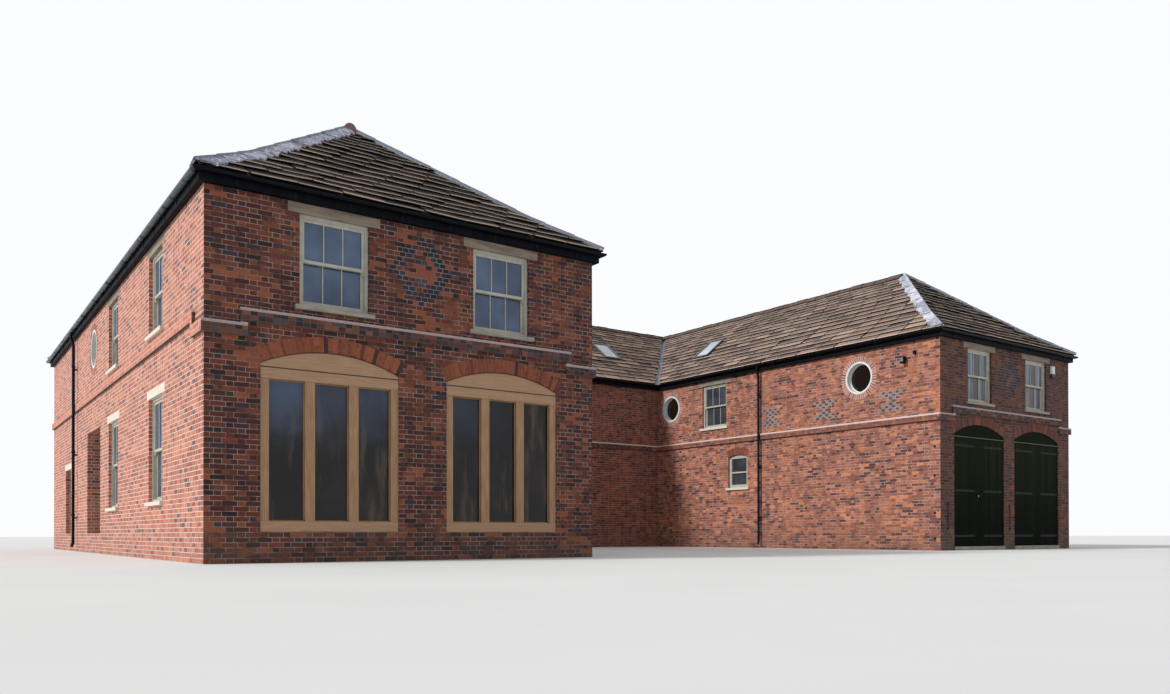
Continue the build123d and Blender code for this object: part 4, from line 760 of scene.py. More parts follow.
def bevelled_box(shape, low, high, edge=0.003):
    """Adds a block between two corners, its edges eased."""
    size = [high[k] - low[k] for k in range(3)]
    middle = [(high[k] + low[k]) / 2 for k in range(3)]
    cube = bmesh.ops.create_cube(shape, size=1.0, matrix=Matrix.Translation(middle)
                                 @ Matrix.Diagonal((*size, 1.0)))
    edges = {e for v in cube["verts"] for e in v.link_edges}
    bmesh.ops.bevel(shape, geom=list(edges), offset=min(edge, min(size) * 0.4),
                    segments=1, affect="EDGES")


def drawn(name, make, *values):
    """Mesh of a shape that a function adds to."""
    shape = bmesh.new()
    make(shape, *values)
    bmesh.ops.recalc_face_normals(shape, faces=shape.faces)
    mesh = bpy.data.meshes.new(name)
    shape.to_mesh(mesh)
    shape.free()
    return mesh


def fit(name, make, slot, *finishes, body="building"):
    """Draws a piece, gives it its finishes and fixes it on a body."""
    mesh = drawn("shape", make)
    for finish in finishes:
        mesh.materials.append(finish)
    return gather(name, [mesh], body)


def pattern_shape(w, given):
    """Shape of the object that a tree is given as its pattern."""
    return w.value("GeometryNodeObjectInfo", {"Object": given["Pattern"]}, "Geometry",
                   transform_space="ORIGINAL")


COPIES, w, given = new_tree("copies_on_spots", Object="Pattern", Material="Finish")
turn = w.value("GeometryNodeInputNamedAttribute", {"Name": "turn"}, data_type="FLOAT")
set_out = w.value("GeometryNodeInstanceOnPoints", {
    "Points": given["Geometry"], "Instance": pattern_shape(w, given),
    "Rotation": w.join(0.0, 0.0, turn)})
end_tree(w, set_out, given["Finish"])


def grow_pattern(name, tree, pattern, mesh=None, **values):
    """Runs a tree that repeats a pattern's mesh."""
    model = place("pattern", pattern)
    made = grow(name, tree, mesh, Pattern=model, **values)
    bpy.data.objects.remove(model)
    return made


def copies(name, pattern, spots, finish):
    """The pattern's mesh at every spot, given as a point and a turn in degrees."""
    points = bpy.data.meshes.new("spots")
    points.from_pydata([point for point, turn in spots], [], [])
    turns = points.attributes.new("turn", "FLOAT", "POINT")
    turns.data.foreach_set("value", [radians(turn) for point, turn in spots])
    return grow_pattern(name, COPIES, pattern, points, Finish=finish)


def window_bars(shape, height):
    """Glazing bars of both sashes and the horns of the upper one, from the opening's foot."""
    middle = height / 2
    lights = ((middle + MEETING_RAIL, height - SASH_HEAD, UPPER_SASH_SETBACK),
              (SASH_HEAD, middle - MEETING_RAIL, UPPER_SASH_SETBACK + SASH_STAGGER))
    for low, high, setback in lights:
        for bar in (-SASH_LIGHT / 6, SASH_LIGHT / 6):
            bevelled_box(shape, (bar - SASH_BAR / 2, setback - BAR_DEPTH, low),
                         (bar + SASH_BAR / 2, setback, high), 0.006)
    for hand in (-1, 1):
        outer = hand * (SASH_LIGHT / 2 + SASH_STILE)
        inner = outer - hand * HORN_WIDTH
        foot = middle - MEETING_RAIL - HORN_HEIGHT
        bevelled_box(shape, (min(outer, inner), HORN_FRONT, foot),
                     (max(outer, inner), HORN_BACK, middle - 0.024), 0.010)


UPPER_STOREY = (4.12, 1.48)
GROUND_STOREY = (1.04, 1.92)
LEFT_BAYS = ("left_outer", (10.95, 15.45))
REAR_BAYS = ("rear", tuple(2.78 + 4.0 * k for k in range(6)))
RIGHT_BAYS = ("right_outer", tuple(3.175 + 4.2 * k for k in range(4)))
SASH_PLACES = (
    ("left_wing", UPPER_STOREY, (("left_front", (2.05, 5.2)), ("left_court", (8.73,)),
                                 LEFT_BAYS)),
    ("left_wing", GROUND_STOREY, (LEFT_BAYS,)),
    ("back_range", UPPER_STOREY, (("back_court", (3.0, 6.5)), REAR_BAYS)),
    ("back_range", GROUND_STOREY, (REAR_BAYS,)),
    ("right_wing", UPPER_STOREY, (("right_court", (3.0,)), ("right_front", (1.89, 4.86)),
                                  RIGHT_BAYS)),
    ("right_wing", GROUND_STOREY, (RIGHT_BAYS,)),
)
sash_paint = painted("sash_paint", *CREAM)
bars = {"left_wing": [], "back_range": [], "right_wing": []}
for wing, (foot, height), places in SASH_PLACES:
    spots = [spot(side, along, foot) for side, alongs in places for along in alongs]
    bars[wing].append(copies("bars", drawn("bars", window_bars, height), spots, sash_paint))
for wing, meshes in bars.items():
    gather(f"{wing}_glazing_bars", meshes)

# The round windows: softwood like the sashes, with deep linings fixed in the brick rings.
# Their paint is a clean white, where the sashes are cream.
ROUND_BANDS = ((-7.35, -6.30, -5.70), (0.80, 2.10, -13.0))
ROUND_EAST = 6.2


def at_round_window(x, y):
    """1 at the round windows, which lie in two bands across the building, and 0 elsewhere."""
    found = 0.0
    for low, high, west in ROUND_BANDS:
        found = most(found, between(y, low, high) * between(x, west, ROUND_EAST))
    return found


w = Finish("frame_paint", roughness=0.5)
x, y, z = w.split(w.place)
dust = w.ease(w.noise(w.place, 7.0, 5.0, 0.65), 0.35, 0.8)
w.colour(w.mix(at_round_window(x, y), w.mix(dust, *CREAM), w.mix(dust, *WHITE)))
w.relief(w.noise(w.place, 30.0, 4.0), 0.001)
dress(w.material, "left_wing_window_frames", "back_range_window_frames",
      "right_wing_window_frames")

# Panes: plain float glass, painted with the dark of the rooms behind as shade and with a
# painted reflection of the sky. The right wing's front rooms have pale curtains drawn back
# to either side, and the round windows show nothing but the dark roof space.
CURTAINED = (7.92, 10.89)
CURTAINED_DEPTH = -8.975
CURTAIN_REACH = 0.8
CURTAIN_EDGE = (0.14, 0.20)
RAIL_SHADOW = (4.79, 4.825, 4.84)


def glazing(name, dark, light, curtains=()):
    """Float glass with the dark room behind and the sky's reflection painted in, soft, rippled."""
    w = Finish(name, roughness=0.05, IOR=1.5)
    x, y, z = w.split(w.place)
    ripple = w.noise(w.place, 1.3, 2.0)
    # Painted shade and reflection: the dark of the room behind, a rippled sky blue or pale grey
    # painted reflection, and dark brown in the round windows.
    room_and_sky = w.mix(w.ease(ripple, 0.3, 0.75), dark, light)
    room_and_sky = w.mix(at_round_window(x, y), room_and_sky, tint(36, 28, 26))
    folds = w.ease(w.noise(w.stretched(1.0, 1.0, 0.03), 24.0, 3.0, 0.6), 0.3, 0.7)
    cloth = w.mix(folds, tint(76, 82, 96), tint(136, 144, 158))
    for centre in curtains:
        off = abs(x - centre)
        hung = w.ease(off, *CURTAIN_EDGE) * ((off < CURTAIN_REACH) * (y < CURTAINED_DEPTH))
        room_and_sky = w.mix(hung, room_and_sky, cloth)
    low, full, high = RAIL_SHADOW
    shaded = w.ease(z, low, full) * (z < high)
    w.colour(w.mix(shaded * 0.8, room_and_sky, tint(20, 24, 30)))
    w.relief(ripple, 0.01, 0.15)
    return w.material


for name, glass, dark, light, curtains in (
        ("wing_panes", "left_wing_window_glass", tint(50, 70, 100), tint(84, 106, 136), ()),
        ("court_panes", "back_range_window_glass", tint(48, 52, 60), tint(84, 90, 98), ()),
        ("curtained_panes", "right_wing_window_glass", tint(48, 52, 58), tint(76, 80, 88),
         CURTAINED),
        ("rooflight_panes", "rooflight_glass", tint(150, 160, 172), tint(196, 204, 214), ())):
    dress(glazing(name, dark, light, curtains), glass)

# The oak screens under the left wing's arches: planed green oak, pegged posts and a head
# beam, with a curved board above and fixed panes between the posts.
SCREENS_MIDDLE = -9.155
SCREEN_OFFSET = 1.615
SCREEN_CENTRES = (-10.77, -7.54)
SCREEN_WIDTH = 2.33
SCREEN_SPRING = 3.15
SCREEN_RISE = 0.254
HEAD_JOINT = (3.070, 3.092)
ARCH_RADIUS = 2.740
ARCH_CENTRE = 0.670
ARCH_JOINT = 0.022
HEAD_FOOT = 3.088
HEAD_FRONT = -9.455
SCREEN_BACK = -9.44
RAIL_REACH = 1.162
RAILS = ((-9.462, 2.905, 3.074), (-9.458, 0.485, 0.655))
LIGHT_WIDTH = 0.573333
POST_WIDTH = 0.165
LIGHT_FOOT = 0.66
LIGHT_HEAD = 2.9
BEAD = 0.014
BEAD_FRONT, BEAD_BACK = -9.402, -9.381
SKY_LEVELS = (1.1, 2.2)
SKY_FADE = (-6.9, -9.4)
FIRST_LIGHT_EDGE = (-11.12, -11.2)


def timber(name, pale, dark, stretch):
    """Sawn timber with its grain along the piece, and dark lines at the head joint and
    under the arch, partly the joint and partly painted shadow.
    """
    w = Finish(name)
    grain_way = w.stretched(*stretch)
    grain = w.noise(grain_way, 3.4, 6.0, 0.65)
    fine = w.noise(grain_way, 16.0, 3.0, 0.6)
    colour = w.mix(w.ease(grain, 0.32, 0.72), pale, dark)
    colour = w.mix(fine * 0.3, colour, dark)
    x, z = w.split(w.place)[::2]
    # Painted shadow: a dark line along the head joint and under the arch.
    off = abs(x - SCREENS_MIDDLE) - SCREEN_OFFSET
    rise = z - ARCH_CENTRE
    reach = w.math("SQRT", off * off + rise * rise)
    gap = (reach > ARCH_RADIUS - ARCH_JOINT) * (z > HEAD_JOINT[1])
    w.colour(w.mix(most(between(z, *HEAD_JOINT), gap) * 0.85, colour, tint(40, 28, 20)))
    w.relief(grain + fine * 0.5, 0.002)
    return w.material


oak_uprights = timber("oak_uprights", tint(178, 142, 108), tint(142, 106, 76),
                      (14.0, 14.0, 0.8))
oak_boards = timber("oak_boards", tint(180, 145, 116), tint(156, 121, 92), (0.8, 14.0, 14.0))
dress(oak_uprights, "oak_screens")


def arch_level(offset, width, spring, rise):
    """Height of a segmental arch at a distance from its middle."""
    radius = arch_radius(width, rise)
    return spring + rise - radius + sqrt(max(radius * radius - offset * offset, 0.0))


def arch_board(shape, centre, width, steps=24):
    """Curved board that fills the head of a screen's arch."""
    rows = []
    for depth in (HEAD_FRONT, SCREEN_BACK):
        row = []
        for k in range(steps + 1):
            x = -width / 2 + width * k / steps
            top = arch_level(x, width, SCREEN_SPRING, SCREEN_RISE)
            row.append([shape.verts.new((centre + x, depth, z)) for z in (HEAD_FOOT, top)])
        rows.append(row)
    face_row, back_row = rows
    for k in range(steps):
        (a, b), (c, d) = face_row[k], face_row[k + 1]
        (e, f), (g, h) = back_row[k], back_row[k + 1]
        for corners in ((a, c, d, b), (e, f, h, g), (b, d, h, f), (a, e, g, c)):
            shape.faces.new(corners)
    for (a, b), (e, f) in ((face_row[0], back_row[0]), (face_row[-1], back_row[-1])):
        shape.faces.new((a, b, f, e))


def screen_trim(shape):
    """Curved head board, head beam and foot rail, standing a little proud."""
    for centre in SCREEN_CENTRES:
        arch_board(shape, centre, SCREEN_WIDTH - 0.012)
        for front, low, high in RAILS:
            bevelled_box(shape, (centre - RAIL_REACH, front, low),
                         (centre + RAIL_REACH, SCREEN_BACK, high), 0.004)


def screen_beads(shape):
    """Glazing bead round each light."""
    for centre in SCREEN_CENTRES:
        for k in (-1, 0, 1):
            x = centre + k * (LIGHT_WIDTH + POST_WIDTH)
            left, right = x - LIGHT_WIDTH / 2, x + LIGHT_WIDTH / 2
            for low_x, high_x, low, high in (
                    (left, left + BEAD, LIGHT_FOOT, LIGHT_HEAD),
                    (right - BEAD, right, LIGHT_FOOT, LIGHT_HEAD),
                    (left, right, LIGHT_FOOT, LIGHT_FOOT + BEAD),
                    (left, right, LIGHT_HEAD - BEAD, LIGHT_HEAD)):
                bevelled_box(shape, (low_x, BEAD_FRONT, low), (high_x, BEAD_BACK, high), 0.004)


fit("oak_screen_heads", screen_trim, "oak", oak_boards)
fit("oak_screen_beads", screen_beads, "oak", oak_uprights)
w = Finish("screen_pane", roughness=0.05, IOR=1.5, Specular_IOR_Level=0.3)
x, y, z = w.split(w.place)
# Painted shade and reflections: the room behind painted dark, with streaks of painted reflection
# and the sky's painted reflection higher up, brighter in the first light.
room = w.noise(w.place, 1.1)
colour = w.mix(w.ease(room, 0.35, 0.7), tint(12, 9, 9), tint(34, 27, 25))
mirrored = w.ease(w.noise(w.stretched(1.0, 1.0, 0.18), 3.4, 5.0, 0.6), 0.50, 0.66)
colour = w.mix(mirrored * 0.75, colour, tint(84, 70, 62))
sky = w.ease(z - w.noise(w.place, 1.7) * 1.2, *SKY_LEVELS) * w.ease(x, *SKY_FADE)
brighter = 0.42 + w.ease(x, *FIRST_LIGHT_EDGE) * 0.38
w.colour(w.mix(sky * brighter, colour, tint(78, 94, 122)))
w.relief(room, 0.004, 0.1)
dress(w.material, "oak_screen_glass")

# The coach doors: ledged and braced leaves of matchboard painted a very dark green, each
# board's edges eased, hung on black strap hinges and pintles under an arched board.
LEAVES = {"coach_door_1_left": (6.673, 7.894), "coach_door_1_right": (7.906, 9.127),
          "coach_door_2_left": (9.683, 10.904), "coach_door_2_right": (10.916, 12.137)}
DOOR_CENTRES = (7.90, 10.91)
LEAF_FACE = -9.45
LEAF_LOW = 0.12
LEAF_HIGH = 3.088
BOARDS_ACROSS = 9
BOARD_GAP = 0.004
BOARD_PROUD = 0.0035
FIRST_BOARD_SEED = 40
HEAD_WIDTH = 2.454
HEAD_BOARDS = 18
HEAD_LOW = 3.145
HEAD_ARCH = (2.47, 3.2, 0.284)
TRANSOM_LOW = (-1.233, -9.466, 3.108)
TRANSOM_HIGH = (1.233, -9.448, 3.136)
STRAP_LEVELS = (0.39, 1.64, 2.88)
STRAP_FACE = -9.458
BOLTS_ALONG = (0.09, 0.30, 0.51, 0.72, 0.93)
BOLT_WASHER = ((-0.020, -0.004, -0.020), (0.020, 0.0, 0.020))
BOLT_DOME = 0.012
LATCH_PLACE = (7.865, 1.50)
LATCH_PLATE = {"radius1": 0.030, "radius2": 0.026, "depth": 0.006}
LATCH_FACE = -9.4565
KNOB_FACE = -9.466
KNOB_RADIUS = 0.013
BOARDS, w, given = new_tree("boards_across", Int="Count Seed", Float="Width Height Thickness Gap",
                            Vector="Place", Material="Finish", Object="Pattern")
pitch = given["Width"] / given["Count"]
line = w.value("GeometryNodeMeshLine", {"Count": given["Count"],
                                        "Offset": w.join(pitch, 0.0, 0.0)})
laid = w.value("GeometryNodeInstanceOnPoints", {
    "Points": line, "Instance": pattern_shape(w, given),
    "Scale": w.join(pitch - given["Gap"], given["Thickness"], given["Height"])})
laid = toned(w, laid, random(w, given["Seed"]))
laid = w.value("GeometryNodeTransform", {"Geometry": laid, "Translation": given["Place"]})
end_tree(w, laid, given["Finish"])


def skin(shape, low, high):
    """Closes a skin between two outlines and caps both; gives the faces between them."""
    span = len(low)
    sides = [shape.faces.new((low[k], high[k], high[(k + 1) % span], low[(k + 1) % span]))
             for k in range(span)]
    shape.faces.new(low[::-1])
    shape.faces.new(high)
    return sides


def unit_board(shape):
    """A board one unit wide, thick and high, from its left foot, its face edges eased."""
    skin(shape, *[[shape.verts.new((x, y, z)) for x, y in (
        (0.0, 1.0), (1.0, 1.0), (1.0, 0.45), (0.965, 0.0), (0.035, 0.0), (0.0, 0.45))]
        for z in (0.0, 1.0)])


w = Finish("green_paint", roughness=0.6, Specular_IOR_Level=0.03)
tone = w.marked("tone")
brush = w.noise(w.stretched(10.0, 10.0, 1.0), 14.0, 5.0, 0.65)
worn = w.ease(w.noise(w.place, 4.0, 5.0), 0.5, 0.85)
# Painted reflection: the green is darker at the foot and lighter towards the top, as the sky's
# reflection on the paint.
door_sky_sheen = w.ease(w.split(w.place)[2], 0.6, 3.0)
colour = w.mix(brush * 0.30, w.mix(tone, tint(10, 15, 7), tint(18, 24, 12)), tint(24, 28, 18))
colour = w.mix(door_sky_sheen * 0.55, w.mix(0.35, colour, tint(2, 4, 2)),
               w.mix(tone, tint(30, 37, 20), tint(42, 50, 28)))
w.colour(w.mix(worn * 0.25, colour, tint(32, 35, 25)))
w.relief(brush, 0.0015)
green_paint = w.material
dress(green_paint, *[f"{name}_leaf" for name in LEAVES], "coach_door_frames")

board = drawn("board", unit_board)
for number, (name, (start, end)) in enumerate(LEAVES.items()):
    boards = grow_pattern("boards", BOARDS, board.copy(), Count=BOARDS_ACROSS,
                          Width=end - start, Height=LEAF_HIGH - LEAF_LOW,
                          Thickness=BOARD_PROUD, Gap=BOARD_GAP,
                          Place=(start, LEAF_FACE - BOARD_PROUD, LEAF_LOW),
                          Finish=green_paint, Seed=FIRST_BOARD_SEED + number)
    gather(f"{name}_boards", [boards], body=name)


def tympanum_boards(shape):
    """Upright boards that fill the arch over each pair of doors."""
    for centre in DOOR_CENTRES:
        width = HEAD_WIDTH / HEAD_BOARDS
        for k in range(HEAD_BOARDS):
            left = -HEAD_WIDTH / 2 + width * k + BOARD_GAP / 2
            right = left + width - BOARD_GAP
            outline = ((left, HEAD_LOW), (right, HEAD_LOW), (right, arch_level(right, *HEAD_ARCH)),
                       (left, arch_level(left, *HEAD_ARCH)))
            skin(shape, *[[shape.verts.new((centre + x, depth, z)) for x, z in outline]
                          for depth in (LEAF_FACE - BOARD_PROUD, LEAF_FACE + 0.002)])


def transom_beads(shape):
    """Moulding along the transom under each boarded head."""
    for centre in DOOR_CENTRES:
        bevelled_box(shape, (centre + TRANSOM_LOW[0], *TRANSOM_LOW[1:]),
                     (centre + TRANSOM_HIGH[0], *TRANSOM_HIGH[1:]), 0.006)


fit("coach_door_heads", tympanum_boards, "green_boards", green_paint)
transom_paint = painted("transom_paint", tint(74, 80, 70), tint(54, 59, 51))
fit("coach_door_transoms", transom_beads, "white_joinery", transom_paint)

iron = flecked("black_iron_paint", tint(18, 20, 30), tint(46, 47, 56), (45.0, 5.0, 0.7), 0.0015,
               (0.5, 0.8), roughness=0.5, Specular_IOR_Level=0.15)
dress(iron, *[f"{name}_straps" for name in LEAVES], "pintles", "wall_irons")


def bolt_head(shape):
    """Domed bolt head on a square washer, facing out."""
    bevelled_box(shape, *BOLT_WASHER, 0.0015)
    bmesh.ops.create_uvsphere(shape, u_segments=10, v_segments=6, radius=BOLT_DOME,
                              matrix=Matrix.Translation((0, BOLT_WASHER[0][1], 0))
                              @ Matrix.Diagonal((1.0, 0.6, 1.0, 1.0)))


for name, (start, end) in LEAVES.items():
    hinge, hand = (start, 1) if name.endswith("left") else (end, -1)
    spots = [((hinge + hand * (0.01 + along), STRAP_FACE, level), 0)
             for along in BOLTS_ALONG for level in STRAP_LEVELS]
    bolts = copies("bolts", drawn("bolt", bolt_head), spots, iron)
    gather(f"{name}_bolts", [bolts], body=name)


def latch(shape):
    """Oval escutcheon with a round knob."""
    x, z = LATCH_PLACE
    bmesh.ops.create_cone(shape, cap_ends=True, segments=24, **LATCH_PLATE,
                          matrix=Matrix.Translation((x, LATCH_FACE, z))
                          @ Matrix.Rotation(radians(90), 4, "X")
                          @ Matrix.Diagonal((0.62, 1.0, 1.0, 1.0)))
    bmesh.ops.create_uvsphere(shape, u_segments=14, v_segments=8, radius=KNOB_RADIUS,
                              matrix=Matrix.Translation((x, KNOB_FACE, z)))


fit("coach_door_1_latch", latch, "black_iron",
    flecked("latch_metal", tint(190, 190, 184), tint(140, 140, 134), (80.0, 4.0),
            roughness=0.35, Metallic=0.7), body="coach_door_1_left")

w = Finish("threshold_stone", roughness=0.85)
grain = w.noise(w.place, 60.0, 5.0, 0.7)
cloud = w.ease(w.noise(w.place, 2.0, 4.0), 0.3, 0.7)
colour = w.mix(cloud, tint(150, 146, 138), tint(180, 176, 168))
w.colour(w.mix(grain * 0.3, colour, tint(110, 106, 98)))
w.relief(grain, 0.003)
dress(w.material, "coach_door_thresholds")

# The floors: a smooth concrete slab poured on the ground below, and above it broad sawn
# boards nailed across timber joists.
FLOOR_BOARD = 0.15
w = Finish("concrete", roughness=0.9)
trowel = w.ease(w.noise(w.place, 3.0, 6.0, 0.6), 0.3, 0.7)
w.colour(w.mix(trowel, tint(136, 134, 130), tint(166, 164, 158)))
w.relief(w.noise(w.place, 50.0, 4.0), 0.002)
dress(w.material, "ground_floors")
w = Finish("floor_boarding", roughness=0.7)
across = w.split(w.place)[0] / FLOOR_BOARD
edge = w.ease(across.to_and_fro(0.5), 0.0, 0.02)
pick = w.value("ShaderNodeTexWhiteNoise", {"W": floor(across)}, noise_dimensions="1D")
colour = w.mix(pick, tint(168, 132, 92), tint(138, 104, 70))
w.colour(w.mix(edge, tint(40, 30, 22), colour))
w.relief(edge, 0.003)
dress(w.material, "upper_floors")

# The roof: stone slates in courses that grow shorter and narrower towards the ridge, pegged
# to battens over boards, each tail resting on the two below. The foot has a gentler pitch.
EAVES_REACH = 0.17
EAVES_LEVEL = 6.01
RIDGE_LEVEL = 8.77
ROOF_RISE = RIDGE_LEVEL - EAVES_LEVEL
BELL_RUN_SHARE = 0.28
BELL_RISE_SHARE = 0.25
HIP_RUN = 3.67
SLATE_COURSES = 18
FIRST_GAUGE = 0.280
GAUGE_LOSS = 0.0086
FIRST_WIDTH = 0.74
WIDTH_LOSS = 0.018
DECK_DROP = 0.070
TAIL_LIFT = 0.043
SLATE_THICKNESS = 0.030
SLATE_LAP = 0.03
SLATE_TAPER = 0.03
FIRST_SLATE_BACK = 0.3
TAIL_RAGGED = 0.034
TAIL_LIMIT = 0.004
END_SLIVER = 0.04
FRONT_UNEVENNESS = 1.9
HIP_MARGIN = 0.03
VALLEY_MARGIN = 0.085
FIRST_SLATE_SEED = 100
TOTAL_GAUGE = SLATE_COURSES * FIRST_GAUGE - GAUGE_LOSS * SLATE_COURSES * (SLATE_COURSES - 1) / 2
LEFT_RUN = 7.25 / 2 + EAVES_REACH
RIGHT_RUN = 6.75 / 2 + EAVES_REACH
BACK_RUN = 7.22 / 2 + EAVES_REACH

# Each slope: side, length of eaves, plan run, and how far each end leans in by the ridge
SLOPES = {
    "left_wing_hip": ("left_front", 7.59, HIP_RUN, LEFT_RUN, -LEFT_RUN),
    "left_wing_court": ("left_court", 11.73, LEFT_RUN, HIP_RUN, BACK_RUN),
    "left_wing_outer": ("left_outer", 19.29, LEFT_RUN, BACK_RUN, -HIP_RUN),
    "back_range_court": ("back_court", 11.22, BACK_RUN, -LEFT_RUN, RIGHT_RUN),
    "back_range_rear": ("rear", 25.90, BACK_RUN, RIGHT_RUN, -LEFT_RUN),
    "right_wing_court": ("right_court", 11.73, RIGHT_RUN, -BACK_RUN, -HIP_RUN),
    "right_wing_hip": ("right_front", 7.09, HIP_RUN, RIGHT_RUN, -RIGHT_RUN),
    "right_wing_outer": ("right_outer", 19.29, RIGHT_RUN, HIP_RUN, -BACK_RUN),
}
VALLEY_ENDS = {"left_wing_court": (1,), "back_range_court": (0, 1), "right_wing_court": (0,)}

SLATES, w, given = new_tree(
    "stone_slates", Int="Across Seed", Vector="Place", Material="Stone",
    Float="Eaves Run Left_Lean Right_Lean Left_Margin Right_Margin Turn Unevenness")


def field(low, high, offset):
    """Random number for each slate."""
    return random(w, given["Seed"] + offset, low, high)


def level_at(distance):
    """Height of the slates' face at a plan distance in from the eaves."""
    bell = given["Run"] * BELL_RUN_SHARE
    foot = distance / bell * (ROOF_RISE * BELL_RISE_SHARE)
    upper = ((distance - bell) / (given["Run"] * (1 - BELL_RUN_SHARE))
             * (ROOF_RISE * (1 - BELL_RISE_SHARE)))
    return EAVES_LEVEL + (least(foot, ROOF_RISE * BELL_RISE_SHARE) + most(upper, 0.0))


def limits(distance):
    """Where the slope ends at its left and right, at a plan distance in from the eaves."""
    share = distance / given["Run"]
    left = given["Left Lean"] * share + given["Left Margin"]
    right = given["Eaves"] + given["Right Lean"] * share - given["Right Margin"]
    return left, right


# Setting out: a point for every slate of every course, with its size and lie
index = w.value("GeometryNodeInputIndex")
row = floor((index + 0.5) / given["Across"])
column = index - row * given["Across"]
scale = given["Run"] / TOTAL_GAUGE
run = scale * (row * FIRST_GAUGE - row * (row - 1.0) * (GAUGE_LOSS / 2))
gauge = scale * (FIRST_GAUGE - row * GAUGE_LOSS)
slate_width = FIRST_WIDTH - row * WIDTH_LOSS
stagger = 0.5 * (row % 2.0)
along = slate_width * (column + stagger + field(-0.02, 0.02, 1)) - FIRST_SLATE_BACK
length = gauge * 2.0 + SLATE_LAP
pitch = w.math("ARCTAN2", level_at(run + gauge) - level_at(run), gauge)
tilt = w.math("ARCTAN2", TAIL_LIFT * field(0.94, 1.12, 2), length)
height = level_at(run) - DECK_DROP + TAIL_LIFT
left, right = limits(run)
half = slate_width * 0.5
outside = most(along + half < left + END_SLIVER, along - half > right - END_SLIVER)
uneven = given["Unevenness"]
points = w.value("GeometryNodeMeshLine", {
    "Count": given["Across"] * float(SLATE_COURSES), "Offset": (0, 0, 0)})
points = w.value("GeometryNodeSetPosition", {"Geometry": points, "Position": w.join(
    along, run + uneven * field(-0.012, 0.012, 3), height)})
points = w.node("GeometryNodeCaptureAttribute", {"Geometry": points})
for kind, title, value in (
        ("FLOAT", "outside", outside),
        ("VECTOR", "size", w.join(slate_width * field(0.960, 0.992, 4), length,
                                  SLATE_THICKNESS * field(0.84, 1.16, 5))),
        ("VECTOR", "way", w.join(pitch - tilt, uneven * field(-0.012, 0.012, 6),
                                 uneven * field(-0.018, 0.018, 7)))):
    points.capture_items.new(kind, title)
    w.put(points.inputs[title], value)
kept = w.value("GeometryNodeDeleteGeometry", {
    "Geometry": points.outputs["Geometry"], "Selection": points.outputs["outside"]})

# One slate, narrower at its head, laid on the points and cut back to the hips and valleys
slate = w.value("GeometryNodeMeshCube", {"Size": (1.0, 1.0, 1.0), "Vertices X": 4})
bx, by, bz = w.split(w.value("GeometryNodeInputPosition"))
slate = w.value("GeometryNodeStoreNamedAttribute", {
    "Geometry": slate, "Name": "part", "Value": w.join(bx + 0.5, by + 0.5, bz + 0.5)},
    data_type="FLOAT_VECTOR", domain="POINT")
narrow = 1.0 - SLATE_TAPER * (by + 0.5)
slate = w.value("GeometryNodeSetPosition", {
    "Geometry": slate, "Position": w.join(bx * narrow, by + 0.5, bz + 0.5)})
laid = w.value("GeometryNodeInstanceOnPoints", {
    "Points": kept, "Instance": slate, "Rotation": points.outputs["way"],
    "Scale": points.outputs["size"]})
laid = toned(w, laid, field(0.0, 1.0, 8))
laid = w.value("GeometryNodeRealizeInstances", {"Geometry": laid})
x, y, z = w.split(w.value("GeometryNodeInputPosition"))
left, right = limits(y)
part = w.value("GeometryNodeInputNamedAttribute", {"Name": "part"}, data_type="FLOAT_VECTOR")
chips = w.noise(w.value("GeometryNodeInputPosition"), 7.0, 2.0) - 0.5
chipped = (w.split(part)[1] < 0.5) * chips * (uneven * TAIL_RAGGED)
cut = w.value("GeometryNodeSetPosition", {"Geometry": laid, "Position": w.join(
    least(most(x, left), right), most(y + chipped, TAIL_LIMIT), least(z, RIDGE_LEVEL))})
end_tree(w, moved(w, cut, given["Place"], given["Turn"]), given["Stone"])

# Weathered brown-grey stone with painted light and shade: a pale rim along each tail,
# partly its split edge and partly painted light; the face under the next tail, the gap
# under each tail and each slate's sides painted dark as shadow. Each finish: brightness
# (painted light, highest on the sunlit court slopes), unshaded reach, grime (how much
# darker towards the ridge) and the slopes it covers.
SLATE_SHADES = {"damp_slates": (1.06, 0.12, 0.6, ("left_wing_hip", "right_wing_hip")),
                "plain_slates": (1.0, 0.40, 0.2, ("left_wing_court", "left_wing_outer",
                                                  "back_range_rear", "right_wing_outer")),
                "dry_slates": (1.27, 0.37, 0.1, ("back_range_court", "right_wing_court"))}
SLATE_COLOURS = ((0.0, 92, 77, 72), (0.20, 146, 123, 112), (0.40, 74, 65, 64),
                 (0.60, 176, 149, 134), (0.78, 112, 98, 96), (1.0, 66, 59, 60))


